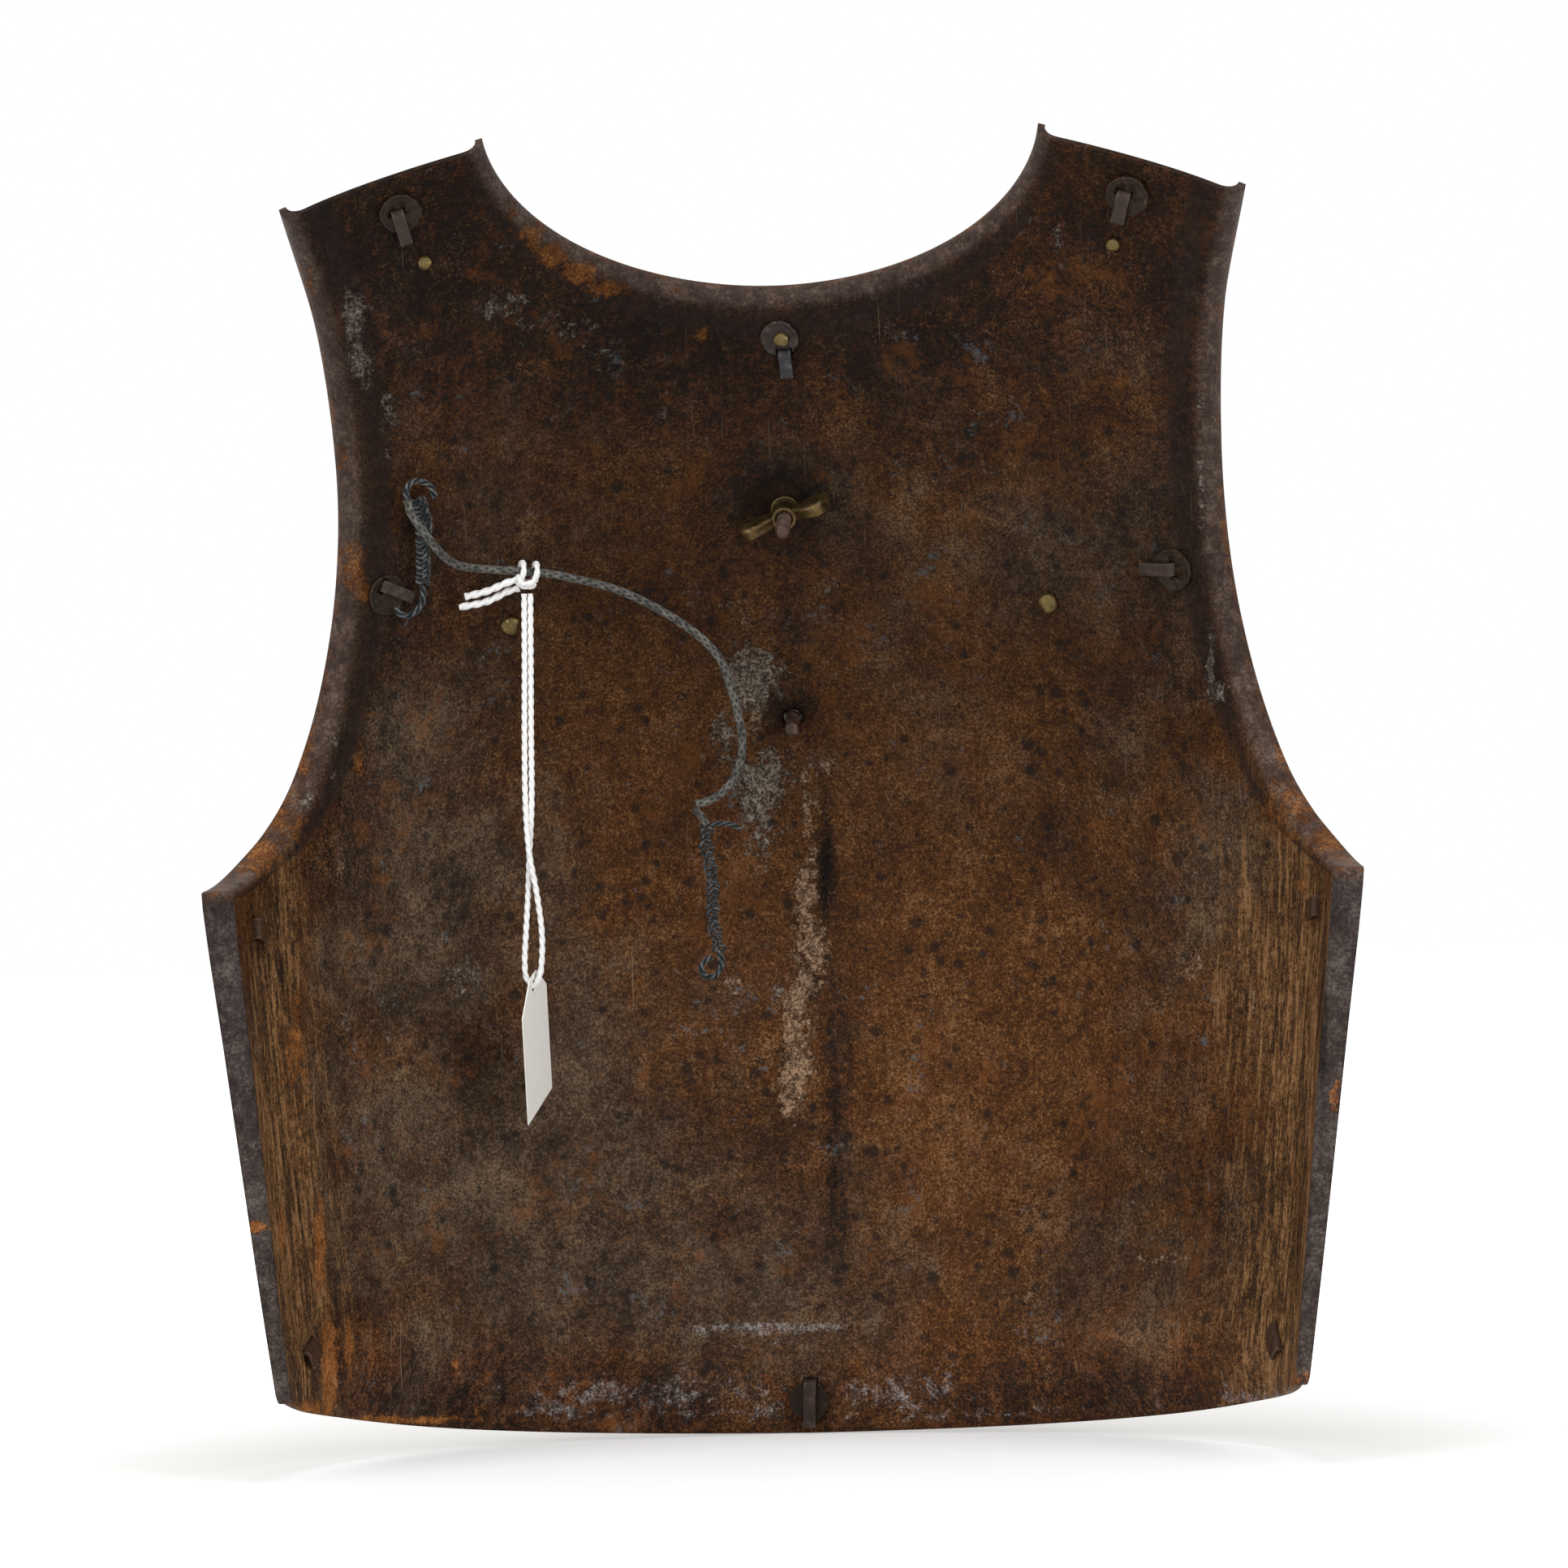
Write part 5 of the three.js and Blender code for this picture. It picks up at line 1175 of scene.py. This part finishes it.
def rounded(corners, radius=0.25, steps=3):
    """The outline with each inner corner cut off by a small arc."""
    points = [Vector(corners[0])]
    for before, here, after in zip(corners, corners[1:], corners[2:]):
        here = Vector(here)
        back, ahead = Vector(before) - here, Vector(after) - here
        size = min(radius, back.length * 0.45, ahead.length * 0.45)
        start, end = here + back.normalized() * size, here + ahead.normalized() * size
        for q in np.linspace(0, 1, steps + 1):
            points.append(start * (1 - q) ** 2 + here * 2 * q * (1 - q) + end * q * q)
    points.append(Vector(corners[-1]))
    return [tuple(point) for point in points]


keeper_iron = forged("keeper_iron", (0.024, 0.0140, 0.0085), (0.105, 0.070, 0.042), (0.10, 0.040, 0.012),
                     worn_at=0.66, specular=0.16)
rusty_keeper_iron = forged("rusty_keeper_iron", (0.030, 0.021, 0.018), (0.12, 0.09, 0.075),
                           (0.20, 0.075, 0.02), worn_at=0.6, specular=0.2)
keeper_rim = 0.8
keeper_dish = 0.22
keeper_sink = 0.25
keeper_slot = (2.4, 5.4, 8)
for name in ("neck", "shoulder_left", "shoulder_right", "armhole_left", "armhole_right", "bottom"):
    node = f"keeper_{name}"
    place = tang_places[name]
    low, high = extent_in(place, node)
    radius = (high[0] - low[0]) / 2
    base, top = low[2] - keeper_sink, high[2]
    profile = rounded([(0, base), (radius, base), (radius, top), (radius - keeper_rim, top),
                       (radius - 1.6 * keeper_rim, top - keeper_dish), (0, top - keeper_dish)])
    middle = moved((low[0] + high[0]) / 2, (low[1] + high[1]) / 2, 0)
    washer = turned_piece(f"round_{node}", place @ middle, profile, rough=0.3, grain=420)
    slot_tool = bmesh.new()
    add_block(slot_tool, place @ moved(tang_half, 0, 0), *keeper_slot)
    cut_with(washer, slot_tool, "EXACT")
    dressed(washer, rusty_keeper_iron if name == "neck" else keeper_iron, "armour", "dark_iron", node)

# Brass rivets and strap studs
# Each is a brass pin riveted over on the inside, where its end is a small hammered pellet. On the front
# it has a low head, or on the two strap studs a neck and a broad button.


def brass(name, base, bright, stain, roughness=0.38):
    """Dull brass or white metal, stained in patches and brighter on its edges."""
    f = Finish(name, roughness, metallic=0.75)
    mottle = f.noise(260, 6, 0.7)
    fine = f.noise(1300, 4, 0.65)
    colour = f.blend(f.spread(mottle, 0.35, 0.7), stain, base)
    colour = f.blend(f.spread(fine, 0.58, 0.75, 0, 0.7), colour, bright)
    colour = f.blend(f.spread(f.sharpness(), 0.52, 0.6, 0, 0.8), colour, bright)
    return f.done(colour, Roughness=f.spread(mottle, 0.3, 0.7, roughness - 0.08, roughness + 0.2),
                  Normal=f.bumped(f.sum((fine, 1), (mottle, 1)), 0.1, 0.5))


rivet_brass = brass("dull_rivet_brass", (0.155, 0.112, 0.038), (0.33, 0.25, 0.10), (0.065, 0.043, 0.015))
rivets = [("strap_stud_left", -0.528, 0.638, 3.5, 2.3, 3.1, 6, 7.6, 4.6),
          ("strap_stud_right", 0.498, 0.645, 3.5, 2.3, 3.1, 6, 7.6, 4.6),
          ("shoulder_rivet_left", -0.649, 0.9116, 2.5, 1.4, 0, 0, 3.6, 1.9),
          ("shoulder_rivet_right", 0.634, 0.9116, 2.5, 1.4, 0, 0, 3.6, 1.9),
          ("neck_rivet", 0.0064, 0.853, 2.5, 1.4, 0, 0, 3.6, 1.9)]
rivet_end_height = 1.3
rivet_sink = 0.35
dome_height_share = 0.72
for name, x_share, z_share, end_radius, shank, neck, neck_length, head_radius, head_height in rivets:
    place = placed_frame(x_share, z_share)
    low, high = extent_in(place, name)
    inner, outer = high[2], low[2]
    seat = inner - rivet_end_height - rivet_sink
    shoulder = outer + head_height
    front = shoulder + neck_length
    corners = [(head_radius * math.sin(t), outer + head_height * dome_height_share * (1 - math.cos(t)))
               for t in np.linspace(0, math.pi / 2, 9)]
    corners += [(head_radius, shoulder)]
    if neck:
        corners += [(neck + 0.4, shoulder), (neck, shoulder + 0.6), (neck, front - 0.3), (neck + 0.3, front)]
    corners += [(shank, front), (shank, seat), (end_radius * 0.96, seat), (end_radius, seat + 0.5),
                (end_radius * 0.86, inner - 0.35), (end_radius * 0.55, inner - 0.05), (0, inner)]
    rivet = turned_piece(f"hammered_{name}", place, rounded(corners, 0.2))
    # hammer blows flatten the inside end a little out of round
    back = place.inverted()
    for vertex in rivet.data.vertices:
        if (back @ vertex.co).z > (seat - 0.1) * millimetre:
            vertex.co += Vector(noise.noise_vector(vertex.co * 260)) * 0.5 * millimetre
            vertex.co += Vector(noise.cell_vector(vertex.co * 420)) * 0.1 * millimetre
    dressed(rivet, rivet_brass, "armour", "old_brass", name)

# Plaque stud, collar and wing nut
# The plaque on the front is held by one threaded iron stud. A thin brass collar and a cast brass wing nut
# with two leaf-shaped wings sit on it.
stud_radius = 2.5
stud_bore = stud_radius + gap
stud_ring = 32
thread_pitch = 1
thread_depth = 0.34
thread_step = 0.12
worn_length = 1.6
stud_place = placed_frame(0, stud_height_share)
stud_low, stud_high = extent_in(stud_place, "plaque_stud")
heights = np.arange(stud_low[2], stud_high[2], thread_step)
line = np.array([stud_place @ Vector((0, 0, z * millimetre)) for z in heights])
winding = ring_angles(stud_ring)[None, :] / (2 * math.pi)
thread = np.abs(((heights[:, None] / thread_pitch - winding) % 1) * 2 - 1)
worn_end = np.clip((stud_high[2] - heights) / worn_length, 0, 1)[:, None]
radii = stud_radius - thread_depth * thread * np.clip(worn_end * 1.4 - 0.3, 0, 1)
radii = radii * (0.62 + 0.38 * np.sqrt(np.clip(worn_end, 0.02, 1)))
stud = tube_mesh("threaded_stud", line, radii * millimetre)
stud_iron = forged("stud_iron", (0.050, 0.0275, 0.0195), (0.155, 0.088, 0.067), (0.12, 0.046, 0.020),
                   worn_at=0.57)
dressed(stud, stud_iron, "armour", "dark_iron", "plaque_stud")
collar_low, collar_high = extent_in(stud_place, "stud_collar")
collar_radius = collar_high[0]
collar = turned_piece("brass_collar", stud_place, rounded(
    [(stud_bore, collar_low[2]), (collar_radius, collar_low[2]), (collar_radius, collar_high[2]),
     (stud_bore, collar_high[2]), (stud_bore, collar_low[2])], 0.3), rough=0.05)
nut_brass = brass("dull_nut_brass", (0.130, 0.078, 0.022), (0.36, 0.27, 0.12), (0.026, 0.014, 0.006), 0.42)
dressed(collar, nut_brass, "nut_washer", "old_brass", "stud_collar")
nut_low, _ = extent_in(stud_place, "wing_nut")
hub_radius = 4.4
hub_height = 9
seat = nut_low[2]
hub = turned_piece("nut_hub", stud_place, rounded(
    [(stud_bore, seat), (hub_radius, seat), (hub_radius, seat + 1.6), (hub_radius * 0.9, seat + 2.1),
     (hub_radius * 0.87, seat + hub_height - 0.9), (hub_radius * 0.93, seat + hub_height - 0.6),
     (hub_radius * 0.9, seat + hub_height), (stud_bore, seat + hub_height), (stud_bore, seat)]), rough=0.06)
wing_reach = 16
wing_root = hub_radius * 0.72
wing_turn = Matrix.Rotation(math.radians(20), 4, "Z")


def closing(q, start, least):
    """Narrows to a round end after a share of the length."""
    return np.sqrt(np.clip(1 - (np.clip(q - start, 0, 1) / (1 - start)) ** 2, least, 1))


q = np.linspace(0, 1, 26)
reach = wing_root + (wing_reach - wing_root) * q
rise = seat + hub_height * 0.5 + 0.6 + 2.4 * q
leaf = (3.2 + 3.1 * smooth_step(q * 1.6)) * closing(q, 0.7, 0.05)
thick = (2.0 + 0.7 * q) * closing(q, 0.86, 0.2)
wings = []
for side in (-1, 1):
    line = [wing_turn @ Vector((side * x, 0, z)) for x, z in zip(reach, rise)]
    wings.append(swept_bar(f"nut_wing_{side}", stud_place, line, thick, leaf, square=5, ring=40,
                           across=wing_turn @ Vector((0, 1, 0))))
wing_nut = joined("cast_wing_nut", [hub] + wings)
dressed(wing_nut, nut_brass, "wing_nut", "old_brass", "wing_nut")

# Locating peg
# A plain iron peg of the plaque comes through its own hole and keeps the plaque from turning.
peg_place = placed_frame(0, peg_height_share)
peg_low, peg_high = extent_in(peg_place, "locating_peg")
peg_radius = 2.3
peg = turned_piece("iron_peg", peg_place, rounded(
    [(0, peg_low[2]), (peg_radius, peg_low[2]), (peg_radius, peg_high[2] - 0.5),
     (peg_radius * 0.8, peg_high[2]), (0, peg_high[2])], 0.4, 4), rough=0.08)
dressed(peg, stud_iron, "armour", "dark_iron", "locating_peg")

# Brass facing
# A thin brass sheet covers the front of the iron and stops short of its rolled edges.
facing_thickness = 0.9
facing_back = plate_thickness + gap
facing_margin = 3
facing_shoulder_margin = 6
covered = (slice(facing_margin, -facing_margin), slice(facing_margin, -facing_margin))
facing_turns, facing_z = turn_grid[covered], z_grid[covered]
tools = bmesh.new()
add_bore_tools(tools)
add_shoulder_tools(tools, facing_shoulder_margin)
facing = sheet_piece("brass_facing", grid_piece(surface_at(facing_turns, facing_z)
                                                + normal_at(facing_turns, facing_z) * facing_back),
                     facing_thickness, tools)
facing_shine = brass("aged_facing_brass", (0.47, 0.33, 0.11), (0.62, 0.46, 0.2), (0.26, 0.16, 0.05), 0.3)
dressed(facing, facing_shine, "armour", "facing_brass", "facing_sheet")

# Plaque with plain sunburst and bare boss
# A pressed white-metal plaque of plain rays lies over the facing, with a bare brass boss in its middle.
plaque_low_share = 0.641
plaque_half_height = 76
plaque_half_width = 64
plaque_back = facing_back + facing_thickness + 0.5
plaque_thickness = 1.5
rays = 32
relief_merge_distance = 1e-6


def front_relief(name, half_width, half_height, depth_at, edge_at, back, steps=256, rings=40):
    """A relief on the front: depth_at gives its height over the inner face for a ring share and an angle."""
    middle = plate_height * plaque_low_share
    angle, share = np.meshgrid(np.linspace(0, 2 * math.pi, steps + 1), np.linspace(0, 1, rings))
    reach = share * edge_at(angle)
    x = reach * half_width * np.cos(angle)
    z = middle + reach * half_height * np.sin(angle)
    turns = turn_at(x, z)
    surface, normal = surface_at(turns, z), normal_at(turns, z)
    face = surface + normal * depth_at(share, angle)[..., None]
    under = surface[-1:] + normal[-1:] * back
    middle_under = surface[:1] + normal[:1] * back
    bm = grid_piece(np.concatenate([face, under, middle_under]))
    bmesh.ops.remove_doubles(bm, verts=bm.verts, dist=relief_merge_distance)
    bmesh.ops.recalc_face_normals(bm, faces=bm.faces)
    return mesh_object(name, bm)


def saw_teeth(angle, count):
    return np.abs(((angle * count / (2 * math.pi)) % 1) * 2 - 1)


def ray_edge(angle):
    longer = 0.5 + 0.5 * np.cos(angle * rays / 2)
    return 0.83 + 0.12 * saw_teeth(angle, rays) + 0.05 * longer


def ray_depth(share, angle):
    rise = smooth_step((share - 0.3) / 0.25) * (1 - 0.35 * share)
    teeth = 1.3 * saw_teeth(angle, rays) + 0.25 * saw_teeth(angle, 3 * rays)
    return plaque_back + plaque_thickness + teeth * rise - 1.2 * (share > 0.995)


plaque = front_relief("sunburst_plaque", plaque_half_width, plaque_half_height, ray_depth, ray_edge,
                      plaque_back)
white_metal = brass("tarnished_white_metal", (0.50, 0.49, 0.46), (0.70, 0.69, 0.66), (0.22, 0.20, 0.17), 0.3)
dressed(plaque, white_metal, "armour", "plaque_metal", "front_plaque")
boss_back = plaque_back + plaque_thickness + gap
boss_half_width = 25
boss_half_height = 30
boss_thickness = 1.5
boss_dome_height = 6
boss_rim_height = 0.9


def boss_depth(share, angle):
    rim = boss_rim_height * np.exp(-((share - 0.9) / 0.05) ** 2)
    dome = boss_dome_height * np.sqrt(np.clip(1 - (share / 0.84) ** 2, 0, 1))
    return boss_back + boss_thickness + dome + rim


boss = front_relief("bare_boss", boss_half_width, boss_half_height, boss_depth, np.ones_like, boss_back, 96)
dressed(boss, facing_shine, "armour", "facing_brass", "plaque_boss")

# Paper tag
# A cream card ticket with its two top corners cut off and a hole for the string. It is left blank.
card_edge_length = 4
bm = bmesh.new()
bm.from_mesh(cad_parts["paper_tag"].data)
bmesh.ops.remove_doubles(bm, verts=bm.verts, dist=relief_merge_distance)
long_edges = [edge for edge in bm.edges if edge.calc_length() > card_edge_length * millimetre]
bmesh.ops.subdivide_edges(bm, edges=long_edges, cuts=6, use_grid_fill=True)
tag = mesh_object("blank_card_tag", bm, smooth=False)
card = Finish("cream_card", roughness=0.85, specular=0.2)
fibre = card.noise(700, 5, 0.6)
cream = card.blend(card.spread(fibre, 0.3, 0.7), (0.93, 0.91, 0.84), (1, 0.99, 0.95))
dressed(tag, card.done(cream, Normal=card.bumped(fibre, 0.05, 0.4)), "tag", "tag_paper", "paper_tag")

# Stage
# A pale floor and backdrop with soft lamps, as in a plain studio. The floor glows further out, so that it
# runs into the backdrop.
floor_half_side = 6
bm = bmesh.new()
bmesh.ops.create_grid(bm, x_segments=1, y_segments=1, size=floor_half_side)
floor = mesh_object("floor", bm)
pale = Finish("pale_floor", roughness=0.9, specular=0.0)
from_middle = pale.node("VectorMath", "Value", {0: pale.place}, operation="LENGTH")
fade = pale.node("MapRange", "Result", {"Value": from_middle, "From Min": 0.16, "From Max": 0.55,
                                        "To Min": 0.30, "To Max": 1.0}, interpolation_type="SMOOTHSTEP")
seen = pale.larger(pale.node("LightPath", "Is Camera Ray", {}), pale.node("LightPath", "Is Glossy Ray", {}))
floor.data.materials.append(pale.done((0.76, 0.76, 0.755), **{"Emission Color": (1, 1, 1),
                                                              "Emission Strength": pale.times(seen, fade)}))
backdrop_light = 0.52
world = bpy.data.worlds.new("studio")
scene.world = world
world.use_nodes = True
nodes, links = world.node_tree.nodes, world.node_tree.links
light_path = nodes.new("ShaderNodeLightPath")
strength = nodes.new("ShaderNodeMix")
strength.inputs["A"].default_value = backdrop_light
strength.inputs["B"].default_value = 1
links.new(light_path.outputs["Is Camera Ray"], strength.inputs["Factor"])
background = nodes["Background"]
background.inputs["Color"].default_value = (1, 1, 1, 1)
links.new(strength.outputs["Result"], background.inputs["Strength"])


def soft_lamp(name, place, size, power):
    """A rectangular lamp that looks at the middle of the plate."""
    lamp = bpy.data.lights.new(name, "AREA")
    lamp.shape = "RECTANGLE"
    lamp.size, lamp.size_y = size
    lamp.energy = power
    lit = bpy.data.objects.new(name, lamp)
    scene.collection.objects.link(lit)
    lit.location = place
    lit.rotation_euler = (look_point - Vector(place)).to_track_quat("-Z", "Y").to_euler()


soft_lamp("left_softbox", (-1.6, -1.5, 1.1), (1.2, 1.4), 20)
soft_lamp("right_softbox", (1.6, -1.4, 0.9), (1.0, 1.4), 17)
soft_lamp("top_softbox", (0, -0.3, 1.9), (1.6, 0.8), 12)
